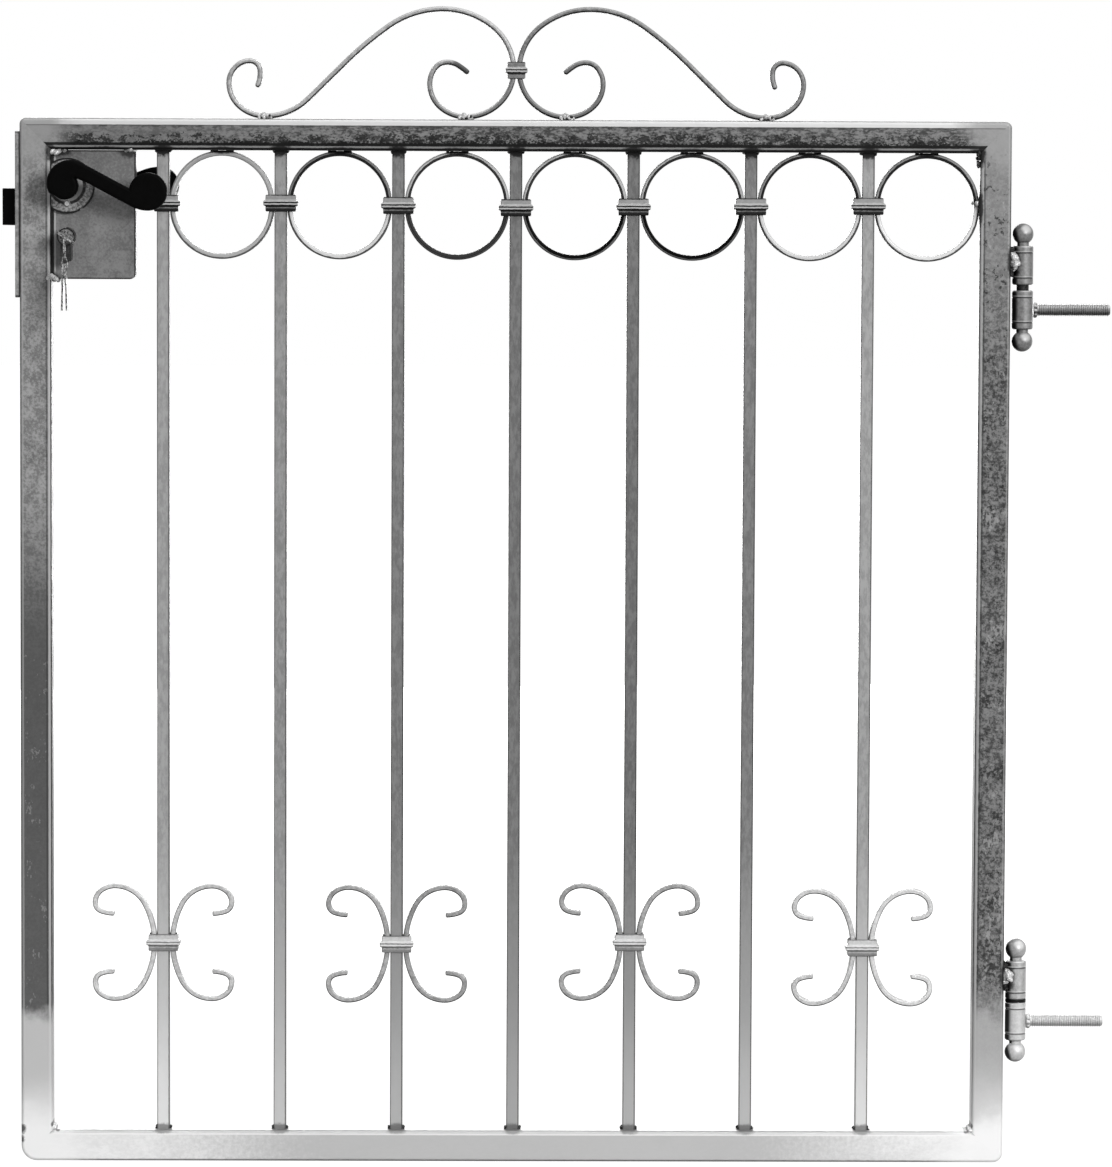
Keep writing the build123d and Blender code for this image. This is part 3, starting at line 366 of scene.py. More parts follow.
def buildRoundMarks():  # inner and outer rim of a round piece seen along y, upper and lower half
    rimNames = ("Inner Upper", "Inner Lower", "Outer Upper", "Outer Lower")
    tree, given, result = newGroup(
        "roundMarks",
        {"Middle": (0, 0, 0), "Half X": 0.05, "Half Z": 0.05, "Inner": 0.94, "Outer": 0.97, "Soft": 0.006},
        *rimNames, "Lower",
    )
    spot = objectCoords(tree)
    away = split(tree, vectorStep(tree, "SUBTRACT", spot, given["Middle"]))
    sideways = calc(tree, "DIVIDE", away[0], given["Half X"])
    upright = calc(tree, "DIVIDE", away[2], given["Half Z"])
    radius = roughen(tree, reachOf(tree, sideways, upright), noise(tree, spot, 130, 3, 0.6), 0.03)
    lower = band(tree, upright, 0.12, -0.12)
    upper = inverse(tree, lower)
    innerEnd = calc(tree, "ADD", given["Inner"], given["Soft"])
    inner = inverse(tree, band(tree, radius, given["Inner"], innerEnd))
    outer = band(tree, radius, calc(tree, "SUBTRACT", given["Outer"], given["Soft"]), given["Outer"])
    halves = ((inner, upper), (inner, lower), (outer, upper), (outer, lower))
    for label, (rim, half) in zip(rimNames, halves):
        feed(tree, result[label], calc(tree, "MULTIPLY", rim, half))
    feed(tree, result["Lower"], lower)


# bands of painted highlight and painted shade on a collar's ridge and edges
collarLines = {  # height from the collar's own middle and half width
    "Pale": [(0.0050, 0.0016)],
    "Bright": [(0.0023, 0.0007), (-0.0010, 0.0006)],
    "Dark": [(0.0007, 0.0004), (0.0078, 0.0003), (-0.0027, 0.0010)],
}
collarFoot = {"start": -0.0040, "end": -0.0055}
collarSoft = 0.0005


def buildCollarBands():  # painted highlight and painted shade in bands across a forged collar, where its ridge and edges catch or lose the light
    tree, given, result = newGroup("collarBands", {"Ragged": 0.0012}, "Pale", "Bright", "Dark", "Foot")
    stored = tree.nodes.new("ShaderNodeAttribute")
    stored.attribute_name = "bandHeight"
    uneven = noise(tree, objectCoords(tree), 260, 3, 0.6)
    height = roughen(tree, stored.outputs["Fac"], uneven, given["Ragged"])

    def lineAt(at, half):
        gap = calc(tree, "ABSOLUTE", calc(tree, "SUBTRACT", height, at))
        return inverse(tree, band(tree, gap, half, half + collarSoft))

    for label, lines in collarLines.items():
        mask = lineAt(*lines[0])
        for at, half in lines[1:]:
            mask = calc(tree, "MAXIMUM", mask, lineAt(at, half))
        feed(tree, result[label], mask)
    feed(tree, result["Foot"], band(tree, height, collarFoot["start"], collarFoot["end"]))


buildMillFinish()
buildStripe()
buildPitting()
buildRaggedMarks()
buildCornerGrind()
buildFacing()
buildBarSides()
buildRoundMarks()
buildCollarBands()
print("surface effects built:", len(bpy.data.node_groups))

plainLook = {  # what a look has when it doesn't say otherwise
    "stretch": (1, 1, 1),
    "patchScale": 25,
    "patchAmount": 0.5,
    "speckScale": 350,
    "speckAmount": 0.3,
    "roughness": 0.4,
    "metallic": 0.15,
    "specular": 0.12,
    "relief": 0.25,
    "reliefDepth": 0.0003,
    "marks": [],
}


def placeGroup(tree, groupName, values):
    node = tree.nodes.new("ShaderNodeGroup")
    node.node_tree = bpy.data.node_groups[groupName]
    for label, value in values.items():
        node.inputs[label].default_value = value
    return node.outputs


def steelFinish(name, ownLook):
    look = {**plainLook, **ownLook}
    material = bpy.data.materials.new(name)
    material.use_nodes = True
    tree = material.node_tree
    shader = tree.nodes["Principled BSDF"]
    mill = placeGroup(tree, "millFinish", {
        "Tone": grey(look["tone"]),
        "Dark": grey(look["dark"]),
        "Light": grey(look["light"]),
        "Stretch": look["stretch"],
        "Patch Scale": look["patchScale"],
        "Patch Amount": look["patchAmount"],
        "Speck Scale": look["speckScale"],
        "Speck Amount": look["speckAmount"],
        "Roughness": look["roughness"],
    })
    color = mill["Color"]
    for groupName, values, results in look["marks"]:
        masks = placeGroup(tree, groupName, values)
        for output, (level, amount) in results.items():
            color = tint(tree, calc(tree, "MULTIPLY", masks[output], amount), color, grey(level))
    feed(tree, shader.inputs["Base Color"], color)
    feed(tree, shader.inputs["Roughness"], mill["Roughness"])
    shader.inputs["Metallic"].default_value = look["metallic"]
    shader.inputs["Specular IOR Level"].default_value = look["specular"]
    relief = tree.nodes.new("ShaderNodeBump")
    relief.inputs["Strength"].default_value = look["relief"]
    relief.inputs["Distance"].default_value = look["reliefDepth"]
    feed(tree, relief.inputs["Height"], mill["Height"])
    feed(tree, shader.inputs["Normal"], relief.outputs[0])
    return material


alongX = (1, 0, 0)
towardLock = (-1, 0, 0)
alongZ = (0, 0, 1)
downZ = (0, 0, -1)


# Marks: a level is a grey from 0 to 255, an amount is how much of it covers what lies under it
def line(axis, at, half, level, amount, soft=0.0005, ragged=0.0005):
    values = {"Axis": axis, "At": at, "Half": half, "Soft": soft, "Ragged": ragged}
    return ("stripe", values, {"Line": (level, amount)})


def past(axis, at, soft, level, amount, ragged=0.03, grain=20):  # tone change past a place on an axis
    values = {"Axis": axis, "At": at, "Soft": soft, "Ragged": ragged, "Grain": grain}
    return ("stripe", values, {"Past": (level, amount)})


def below(height, soft, level, amount, ragged=0.03, grain=20):  # height is counted from the bottom rail
    return past(downZ, -openingLow - height, soft, level, amount, ragged, grain)


def spots(axis, at, soft, scale, least, level, amount, stretch=(1, 1, 1)):
    values = {"Axis": axis, "At": at, "Soft": soft, "Scale": scale, "Least": least, "Stretch": stretch}
    return ("pitting", values, {"Spots": (level, amount)})


def raggedMark(x, z, reachX, reachZ, level, amount, spacing=10, ragged=0.8):
    values = {"Middle": (x, 0, z), "Spacing": spacing, "Reach X": reachX, "Reach Z": reachZ, "Ragged": ragged}
    return ("raggedMarks", values, {"Mark": (level, amount)})


def frontSpeck(x, z, reach, level, amount=0.85, depth=0.005, ragged=1.5):  # spatter on the front only
    reaches = {"Reach X": reach, "Reach Y": depth, "Reach Z": reach}
    values = {"Middle": (x, frontY, z), **reaches, "Ragged": ragged}
    return ("raggedMarks", values, {"Mark": (level, amount)})


# painted light: a highlight or a shade on the surfaces turned toward a direction
def paintedFacingLight(axis, least, most, level, amount):
    return ("facing", {"Axis": axis, "Least": least, "Most": most}, {"Turned": (level, amount)})


def ground(reach, upper=None, lower=None):  # level and amount on the upper and the lower corners
    corners = {"Upper": upper, "Lower": lower}
    return ("cornerGrind", {"Reach": reach}, {label: shade for label, shade in corners.items() if shade})


# painted shade on the narrow sides of flat bar
def sides(halfDepth, rounding, level, amount):
    return ("barSides", {"Half Depth": halfDepth, "Round": rounding}, {"Side": (level, amount)})


lugRise = 0.0215  # middle of a hinge lug over the foot of its barrel
lugMiddles = {name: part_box(name)[0].z + lugRise for name in ("lower_leaf_barrel", "upper_leaf_barrel")}
tubeLooks = {
    "top_rail": {
        "tone": 88, "dark": 40, "light": 134, "stretch": (0.5, 1, 1), "patchScale": 34, "patchAmount": 0.6,
        "speckScale": 480, "speckAmount": 0.7,
        "marks": [
            past(towardLock, -leafLow.x - 0.2305, 0.14, 116, 0.5),
            spots(downZ, -openingHigh - 0.0190, 0.006, 700, 0.485, 12, 0.85, (0.8, 1, 1)),
            spots(downZ, -openingHigh - 0.0110, 0.005, 620, 0.44, 2, 0.95, (0.8, 1, 1)),
            spots(alongZ, openingHigh + 0.0190, 0.004, 420, 0.50, 60, 0.7, (0.3, 1, 1)),
            # painted highlight along the upper rounded edge
            line(alongZ, leafHigh.z - 0.0032, 0.0024, 212, 0.92, 0.0008),
            line(alongZ, leafHigh.z, 0.0005, 120, 0.7),
            ground(0.056, upper=(146, 0.85)),
            line(alongZ, leafHigh.z - 0.0064, 0.0003, 50, 0.45),
            # painted shade and a painted reflection along the lower rounded edge: black, light, black
            line(alongZ, openingHigh + 0.0057, 0.0012, 3, 0.95),
            line(alongZ, openingHigh + 0.0034, 0.0007, 128, 0.85),
            line(alongZ, openingHigh + 0.0009, 0.0014, 2, 0.95),
            raggedMark(barXs[0], openingHigh, 0.012, 0.007, 4, 0.95, barSpacing),
            raggedMark(ringGap, openingHigh, 0.020, 0.004, 4, 0.95, barSpacing),
            raggedMark(hingeEdgeX, openingHigh, 0.012, 0.006, 4, 0.95),
        ],
    },
    "bottom_rail": {
        # painted light: written near white, standing for the pale floor's light on the bottom of the leaf
        "tone": 224, "dark": 196, "light": 236, "stretch": (0.5, 1, 1), "patchScale": 22,
        "speckScale": 420, "speckAmount": 0.2, "roughness": 0.42,
        "marks": [
            # darker across the middle of the rail
            raggedMark(leafMidX + 0.02, openingLow - 0.014, 0.36, 0.08, 168, 0.85, ragged=0.5),
            # painted shade on the top face and on the top and lower edges, and a painted highlight on the
            # rounded upper edge
            line(alongZ, openingLow - 0.0018, 0.0012, 196, 0.8),
            line(alongZ, openingLow - 0.0002, 0.0004, 150, 0.5),
            line(alongZ, openingLow - 0.0038, 0.0005, 236, 0.6),
            line(alongZ, leafLow.z + 0.0008, 0.0008, 84, 0.75),
            ground(0.07, lower=(230, 0.85)),
            raggedMark(barXs[0], openingLow, 0.010, 0.004, 90, 0.6, barSpacing),
            raggedMark(hingeEdgeX - 0.005, openingLow, 0.0025, 0.002, 70, 0.8),
            raggedMark(lockEdgeX + 0.005, openingLow, 0.0025, 0.002, 70, 0.8),
        ],
    },
    "lock_stile": {
        "tone": 136, "dark": 96, "light": 172, "patchScale": 18, "patchAmount": 0.6,
        "speckScale": 340, "speckAmount": 0.5, "roughness": 0.42,
        "marks": [
            below(0.546, 0.09, 80, 0.92),
            spots(downZ, -openingLow - 0.506, 0.05, 420, 0.585, 140, 0.6, (1, 1, 0.6)),
            # lines along the rounded edges: the light ones are painted highlights, and the black one at the
            # inner edge is painted shadow in the gap by the lock case
            line(alongX, lockEdgeX - 0.0019, 0.0013, 172, 0.8),
            line(alongX, lockEdgeX - 0.0045, 0.0006, 50, 0.6, 0.0006),
            line(alongX, lockEdgeX - 0.0001, 0.0007, 6, 0.9),
            line(alongX, leafLow.x + 0.0005, 0.0006, 60, 0.6),
            line(alongX, leafLow.x + 0.0023, 0.0008, 176, 0.5),
            # painted light: lighter toward the bottom
            below(0.112, 0.010, 190, 0.88, 0.03, 60),
            below(0.031, 0.03, 228, 0.88),
            ground(0.056, upper=(148, 0.8), lower=(230, 0.9)),
            raggedMark(lockEdgeX, openingHigh, 0.006, 0.014, 6, 0.9),
            raggedMark(lockEdgeX, openingLow + 0.005, 0.0018, 0.003, 60, 0.8),
            frontSpeck(leafLow.x, openingLow + 0.001, 0.005, 20),
            frontSpeck(leafLow.x, openingLow - 0.009, 0.004, 30),
        ],
    },
    "hinge_stile": {
        "tone": 92, "dark": 44, "light": 138, "patchScale": 34, "patchAmount": 0.75,
        "speckScale": 330, "speckAmount": 0.6, "roughness": 0.42,
        "marks": [
            past(alongZ, openingLow + 0.806, 0.08, 138, 0.6),
            spots(alongZ, openingLow + 0.106, 0.03, 300, 0.55, 36, 0.85),
            spots(alongZ, openingLow + 0.106, 0.03, 240, 0.575, 156, 0.6, (1.3, 1, 0.8)),
            # lines along the rounded edges: the light ones are painted highlights, and the black one at the
            # inner edge is painted shade
            line(alongX, hingeEdgeX + 0.0019, 0.0013, 168, 0.75),
            line(alongX, hingeEdgeX + 0.0045, 0.0006, 40, 0.6),
            line(alongX, hingeEdgeX, 0.0007, 6, 0.85),
            line(alongX, leafHigh.x - 0.0003, 0.0006, 30, 0.7),
            line(alongX, leafHigh.x - 0.0019, 0.0006, 156, 0.45),
            # painted light: lighter toward the bottom
            below(0.121, 0.025, 164, 0.86, 0.06, 45),
            below(0.046, 0.04, 202, 0.88),
            below(0.006, 0.01, 226, 0.9),
            ground(0.056, upper=(146, 0.8), lower=(230, 0.9)),
            raggedMark(hingeEdgeX, openingHigh, 0.006, 0.016, 4, 0.95),
            raggedMark(hingeEdgeX, lastRing.z, 0.004, 0.018, 4, 0.9),
            raggedMark(hingeEdgeX, openingLow + 0.005, 0.0018, 0.003, 60, 0.8),
            raggedMark(leafHigh.x, lugMiddles["upper_leaf_barrel"], 0.004, 0.018, 4, 0.9),
            raggedMark(leafHigh.x, lugMiddles["lower_leaf_barrel"], 0.004, 0.018, 4, 0.9),
        ],
    },
}
nodeFinishes = {node: steelFinish(node + "Steel", look) for node, look in tubeLooks.items()}

barTones = {  # middle and foot; the paler foot is painted light, brighter toward the bottom
    1: (154, 216),
    2: (141, 188),
    3: (119, 168),
    4: (112, 156),
    5: (108, 166),
    6: (118, 174),
    7: (149, 208),
}
barShade = {"fadeHigh": 0.226, "fadeLow": 0.086, "fade": 0.08, "rightEdge": 0.0056, "leftEdge": -0.0057}


def barLook(number):
    middle, foot = barTones[number]
    x = barXs[number - 1]
    return {
        "tone": middle, "dark": middle - 18, "light": middle + 18, "stretch": (1, 1, 0.35), "patchScale": 60,
        "patchAmount": 0.35, "speckScale": 420, "speckAmount": 0.5,
        "marks": [
            # painted light: lighter toward the foot
            below(barShade["fadeHigh"], barShade["fade"], (middle + foot) / 2, 0.85),
            below(barShade["fadeLow"], barShade["fade"], foot, 0.9),
            line(alongX, x + barShade["rightEdge"], 0.0006, 40, 0.7),
            line(alongX, x + barShade["leftEdge"], 0.0004, 50, 0.55),
            raggedMark(x, openingHigh, 0.02, 0.0065, 2, 0.96, ragged=1.5),
            raggedMark(x, openingLow, 0.02, 0.006, 60, 0.7),
        ],
    }


for number in barTones:
    nodeFinishes[f"bar_{number}"] = steelFinish(f"bar{number}Steel", barLook(number))

ringTones = {  # upper face, its inner rim, lower face, its inner rim, its outer rim: painted highlight and painted shade of the rounded bar
    1: (196, 158, 176, 170, 80),
    2: (126, 16, 208, 204, 40),
    3: (212, 4, 6, 60, 70),
    4: (208, 2, 4, 6, 96),
    5: (196, 2, 4, 3, 90),
    6: (150, 3, 196, 200, 20),
    7: (158, 2, 212, 214, 40),
}
ringRims = {"Inner": 0.956, "Outer": 0.972, "Soft": 0.008}  # shares of the ring's half width


def ringLook(number):
    upper, upperInner, lower, lowerInner, lowerOuter = ringTones[number]
    low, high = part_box(f"ring_{number}")
    middle = (low + high) / 2
    oval = {"Middle": tuple(middle), "Half X": (high.x - low.x) / 2, "Half Z": (high.z - low.z) / 2}
    return {
        "tone": upper, "dark": max(upper - 34, 4), "light": min(upper + 24, 226),
        "patchScale": 45, "patchAmount": 0.4, "speckScale": 420,
        "roughness": 0.38, "metallic": 0.1, "specular": 0.03,
        "marks": [
            # painted shade on the narrow sides and undersides, painted highlight and shade on the halves of
            # the face and its rims
            sides(0.0057, 0.0012, 60, 0.6),
            ("roundMarks", {**oval, **ringRims}, {
                "Lower": (lower, 1),
                "Inner Upper": (upperInner, 0.95),
                "Inner Lower": (lowerInner, 0.8),
                "Outer Lower": (lowerOuter, 0.9),
                "Outer Upper": (96, 0.5),
            }),
            paintedFacingLight(downZ, 0.45, 0.9, 6, 0.8),
            raggedMark(middle.x, openingHigh, 0.016, 0.004, 6, 0.95),
        ],
    }


for number in ringTones:
    nodeFinishes[f"ring_{number}"] = steelFinish(f"ring{number}Steel", ringLook(number))

scrollTones = {
    "c_scroll_1_left": 200, "c_scroll_1_right": 184, "c_scroll_3_left": 158, "c_scroll_3_right": 144,
    "c_scroll_5_left": 154, "c_scroll_5_right": 154, "c_scroll_7_left": 188, "c_scroll_7_right": 202,
    "top_scroll_left": 162, "top_scroll_right": 124,
}
crestReach = {"outer": 0.239, "inner": 0.048}  # feet of the crest, from the middle of the leaf


def scrollLook(nodeName):
    tone = scrollTones[nodeName]
    marks = [
        # painted shade on the narrow sides and undersides, painted highlight on the upward faces
        sides(0.0058, 0.0014, max(tone - 60, 40), 0.6),
        paintedFacingLight(alongZ, 0.10, 0.70, min(tone + 44, 228), 0.7),
        paintedFacingLight(downZ, 0.05, 0.40, max(tone - 136, 8), 0.92),
    ]
    if nodeName.startswith("top_"):  # the inner curls are darker than the arches
        side = -1 if nodeName.endswith("left") else 1
        marks.insert(0, raggedMark(leafMidX + side * 0.042, leafHigh.z + 0.024, 0.054, 0.036, 100, 0.8))
        marks.append(raggedMark(leafMidX + side * crestReach["inner"], leafHigh.z, 0.010, 0.005, 4, 0.9))
        marks.append(raggedMark(leafMidX + side * crestReach["outer"], leafHigh.z, 0.012, 0.004, 10, 0.8))
    if nodeName == "top_scroll_left":  # scorched tip
        marks.append(raggedMark(leafMidX - 0.052, leafHigh.z + 0.049, 0.016, 0.010, 36, 0.8))
    return {
        "tone": tone, "dark": tone - 42, "light": min(tone + 34, 226), "patchScale": 42, "patchAmount": 0.6,
        "speckScale": 400, "speckAmount": 0.35, "roughness": 0.38, "marks": marks,
    }


for nodeName in scrollTones:
    nodeFinishes[nodeName] = steelFinish(nodeName + "Steel", scrollLook(nodeName))


def bands(pale, bright, dark, foot):  # level and amount of each band
    return ("collarBands", {}, {"Pale": pale, "Bright": bright, "Dark": dark, "Foot": foot})


collarLook = {
    "tone": 114, "dark": 76, "light": 160, "patchScale": 70,
    "speckScale": 420, "speckAmount": 0.4, "roughness": 0.38, "relief": 0.35,
    "marks": [
        # painted shade underneath
        paintedFacingLight(downZ, 0.3, 0.8, 4, 0.9),
        bands((150, 0.7), (190, 0.7), (6, 0.95), (3, 0.96)),
    ],
}
# paler copy for the collars low on the leaf: painted light, brighter toward the bottom
paleCollarLook = {
    **collarLook, "tone": 176, "dark": 140, "light": 206,
    "marks": [bands((190, 0.6), (222, 0.8), (84, 0.6), (96, 0.7))],
}
topCollarLook = {
    **collarLook, "tone": 118, "dark": 84, "light": 156,
    "marks": [
        # painted shade underneath
        paintedFacingLight(downZ, 0.3, 0.8, 4, 0.9),
        bands((108, 0.6), (190, 0.7), (12, 0.85), (120, 0.5)),
    ],
}
nodeFinishes["scroll_collars"] = steelFinish("scrollCollarSteel", paleCollarLook)
nodeFinishes["top_collar"] = steelFinish("topCollarSteel", topCollarLook)

barrel = {
    "length": 0.037,
    "band": 0.0065,
    "litSide": (0.30, -0.80, 0.52),
    "outerSide": (0.97, -0.24, 0),
    "leafSide": (-0.97, 0, -0.24),
    "grooveHalf": 0.0005,
    "lipRise": 0.0013,  # painted highlight on the lip over a groove
    "lipHalf": 0.0004,
}
barrelTones = {  # tone, dark, light, painted highlight, soot and painted shade
    "upper_leaf_barrel": (118, 84, 156, 204, 4),
    "upper_post_barrel": (118, 84, 156, 204, 4),
    # the lower pair is paler: painted light, brighter toward the bottom
    "lower_leaf_barrel": (168, 116, 206, 228, 6),
    "lower_post_barrel": (192, 168, 216, 232, 6),
}


def barrelLook(nodeName):
    tone, dark, light, paintedHighlight, sootAndShade = barrelTones[nodeName]
    low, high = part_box(nodeName)
    marks = [
        # painted highlight on the lit side and on the outer side, painted shade on the side toward the leaf
        # and underneath
        paintedFacingLight(barrel["litSide"], 0.78, 1.0, paintedHighlight, 0.8),
        paintedFacingLight(barrel["outerSide"], 0.9, 1.0, light, 0.6),
        paintedFacingLight(barrel["leafSide"], 0.42, 0.74, sootAndShade, 0.95),
        paintedFacingLight(downZ, 0.55, 0.95, sootAndShade + 24, 0.7),
    ]
    end, inward = (high.z, -1) if "post" in nodeName else (low.z, 1)
    if nodeName in lugMiddles:
        marks.append(raggedMark(leafHigh.x + 0.002, lugMiddles[nodeName], 0.009, 0.020, sootAndShade, 0.92))
    for reach in (barrel["band"], barrel["length"] - barrel["band"]):  # two turned grooves, with painted shade in each and a painted highlight on the lip above it
        groove = end + inward * reach
        marks.append(line(alongZ, groove, barrel["grooveHalf"], max(dark - 80, sootAndShade), 0.75))
        marks.append(line(alongZ, groove + barrel["lipRise"], barrel["lipHalf"], paintedHighlight, 0.3))
    return {
        "tone": tone, "dark": dark, "light": light, "patchScale": 60, "patchAmount": 0.4,
        "speckScale": 500, "speckAmount": 0.25, "roughness": 0.36, "metallic": 0.1, "specular": 0.15,
        "relief": 0.12, "marks": marks,
    }


for nodeName in barrelTones:
    nodeFinishes[nodeName] = steelFinish(nodeName + "Steel", barrelLook(nodeName))

studLook = {
    "tone": 124, "dark": 96, "light": 156, "patchScale": 60, "patchAmount": 0.3,
    "speckScale": 600, "speckAmount": 0.2, "roughness": 0.36, "metallic": 0.1, "specular": 0.15,
    "marks": [
        # painted highlight on top, painted shade underneath, painted light on the lowest rim
        paintedFacingLight(alongZ, 0.10, 0.60, 206, 0.75),
        paintedFacingLight(downZ, 0.05, 0.40, 26, 0.85),
        paintedFacingLight(downZ, 0.72, 0.95, 150, 0.6),
    ],
}
# paler copy for the lower stud: painted light, brighter toward the bottom
paleStudLook = {
    **studLook, "tone": 196, "dark": 172, "light": 216,
    "marks": [
        # painted highlight on top, painted shade underneath, painted light on the lowest rim
        paintedFacingLight(alongZ, 0.10, 0.60, 228, 0.7),
        paintedFacingLight(downZ, 0.05, 0.40, 150, 0.7),
        paintedFacingLight(downZ, 0.72, 0.95, 210, 0.6),
    ],
}
pinLook = {"tone": 20, "dark": 4, "light": 70, "patchScale": 90, "roughness": 0.35}
washerLook = {"tone": 8, "dark": 3, "light": 24, "patchScale": 90}
caseLow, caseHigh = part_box("lock_case")
caseLook = {
    "tone": 118, "dark": 88, "light": 150, "patchScale": 13, "patchAmount": 0.7,
    "speckScale": 420, "roughness": 0.42,
    "marks": [
        # painted shadow in the gap by the stile and along the case's side, lower and upper edges, and a
        # painted highlight on the case's edge beside the gap
        line(alongX, lockEdgeX + 0.0008, 0.0014, 8, 0.9),
        line(alongX, lockEdgeX + 0.0034, 0.0006, 190, 0.7),
        line(alongX, caseHigh.x - 0.0002, 0.0011, 16, 0.85),
        line(alongZ, caseLow.z + 0.0002, 0.0009, 16, 0.85),
        line(alongZ, caseHigh.z - 0.0002, 0.0010, 30, 0.8),
        raggedMark(lockEdgeX + 0.005, caseHigh.z, 0.017, 0.008, 10, 0.9),
        raggedMark(caseHigh.x - 0.006, caseHigh.z, 0.012, 0.008, 24, 0.85),
        raggedMark(lockEdgeX + 0.001, caseLow.z, 0.008, 0.008, 14, 0.85),
    ],
}
forendLow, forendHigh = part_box("forend_plate")
forendLook = {
    "tone": 138, "dark": 96, "light": 184, "patchScale": 30, "patchAmount": 0.6,
    "marks": [
        line(alongX, forendHigh.x - 0.0003, 0.0006, 30, 0.8),
        line(alongZ, forendLow.z + 0.0008, 0.0012, 20, 0.8),
        line(alongZ, forendHigh.z - 0.0006, 0.0008, 50, 0.7),
    ],
}
roseRims = {"Middle": tuple(midOf("spindle")), "Half X": 0.0265, "Half Z": 0.0265, "Soft": 0.04}
roseLook = {
    "tone": 124, "dark": 56, "light": 184, "patchScale": 90, "patchAmount": 0.7,
    "speckScale": 420, "speckAmount": 0.5, "roughness": 0.36, "metallic": 0.2,
    "marks": [
        # painted shadow round the rim and in a ring inside it
        ("roundMarks", {**roseRims, "Inner": 0.66, "Outer": 0.95}, {
            "Inner Upper": (4, 0.9),
            "Inner Lower": (4, 0.9),
            "Outer Upper": (4, 0.95),
            "Outer Lower": (3, 0.96),
        }),
        # painted highlight on the rim of the lever's neck
        ("roundMarks", {**roseRims, "Inner": 0.55}, {"Inner Upper": (206, 0.85), "Inner Lower": (150, 0.7)}),
    ],
}
screwLook = {"tone": 170, "dark": 90, "light": 224, "patchScale": 160, "roughness": 0.3, "metallic": 0.5}
leverLook = {
    "tone": 4, "dark": 2, "light": 10, "patchScale": 40, "patchAmount": 0.6,
    "speckScale": 700, "roughness": 0.55, "metallic": 0.0, "specular": 0.02, "relief": 0.2,
}
latchLook = {
    "tone": 4, "dark": 2, "light": 12, "patchScale": 50,
    "speckScale": 600, "roughness": 0.55, "metallic": 0.0, "specular": 0.02,
}
innerLook = {
    "tone": 150, "dark": 90, "light": 200, "patchScale": 60, "patchAmount": 0.4,
    "roughness": 0.35, "metallic": 0.6,
}
cylinderRadius = 0.0085
cylinderRims = {
    "Middle": (midOf("lock_cylinder").x, 0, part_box("lock_cylinder")[1].z - cylinderRadius),
    "Half X": cylinderRadius,
    "Half Z": cylinderRadius,
    "Outer": 0.88,
    "Soft": 0.05,
}
cylinderLook = {
    "tone": 104, "dark": 44, "light": 170, "patchScale": 120, "patchAmount": 0.6,
    "speckScale": 700, "roughness": 0.34, "metallic": 0.2, "relief": 0.12,
    "marks": [
        # painted shade on the lower right and round the rim
        paintedFacingLight((0.6, 0, -0.8), 0.4, 0.9, 6, 0.8),
        ("roundMarks", cylinderRims, {"Outer Upper": (4, 0.95), "Outer Lower": (20, 0.8)}),
    ],
}
plugLook = {
    "tone": 88, "dark": 14, "light": 206, "patchScale": 160, "patchAmount": 0.8,
    "speckScale": 700, "speckAmount": 0.4, "roughness": 0.34, "metallic": 0.2, "relief": 0.12,
}
keyLook = {
    "tone": 84, "dark": 3, "light": 212, "patchScale": 190, "patchAmount": 0.9,
    "speckScale": 400, "speckAmount": 0.65, "roughness": 0.34, "metallic": 0.1, "relief": 0.12,
}
weldLook = {
    "tone": 206, "dark": 110, "light": 238, "patchScale": 240, "patchAmount": 0.8,
    "speckScale": 900, "speckAmount": 0.4, "roughness": 0.34, "metallic": 0.2, "relief": 0.4,
}
burntWeldLook = {
    "tone": 14, "dark": 3, "light": 84, "patchScale": 260, "patchAmount": 0.8,
    "speckScale": 900, "speckAmount": 0.45, "roughness": 0.5, "metallic": 0.1, "relief": 0.5,
}

slotLooks = {
    "hinge_steel": innerLook,
    "pin_steel": pinLook,
    "stud_steel": studLook,
    "washer_steel": washerLook,
    "lock_steel": caseLook,
    "forend_steel": forendLook,
    "forged_collar": collarLook,
    "screw_zinc": screwLook,
    "rose_steel": roseLook,
    "lever_black": leverLook,
    "latch_black": latchLook,
    "spindle_steel": innerLook,
    "spring_steel": innerLook,
    "cylinder_nickel": cylinderLook,
    "key_nickel": keyLook,
    "key_ring_wire": keyLook,
}
slotFinishes = {slot: steelFinish(slot + "_finish", look) for slot, look in slotLooks.items()}
nodeFinishes["cylinder_plug"] = steelFinish("plugSteel", plugLook)
nodeFinishes["lower_stud"] = steelFinish("paleStudSteel", paleStudLook)
weldFinish = steelFinish("weldBead", weldLook)
burntWeldFinish = steelFinish("burntWeld", burntWeldLook)
# paler copy for the welds at the foot of the leaf: painted light, brighter toward the bottom
paleWeldFinish = steelFinish("paleWeld", {**weldLook, "tone": 222, "dark": 200, "light": 236, "relief": 0.1})


def finishOf(nodeName):
    return nodeFinishes.get(nodeName) or slotFinishes[slotOf[nodeName]]


for nodeName, node in cadNodes.items():
    giveFinish(node, finishOf(nodeName))
print("finishes given to", len(cadNodes), "nodes")

easedEdges = {  # node: radius of the eased edge in metres
    **{f"ring_{number}": 0.0016 for number in range(1, 8)},
    **{f"c_scroll_{number}_{hand}": 0.0015 for number in (1, 3, 5, 7) for hand in ("left", "right")},
    "top_scroll_left": 0.0022,
    "top_scroll_right": 0.0022,
    "ring_collars": 0.0012,
    "scroll_collars": 0.0012,
    "top_collar": 0.0012,
    "forend_plate": 0.0007,
    "latch_bolt": 0.0006,
}
easing = {"merge": 0.00001, "flatAngle": 0.6, "edgeAngle": 38, "segments": 3}


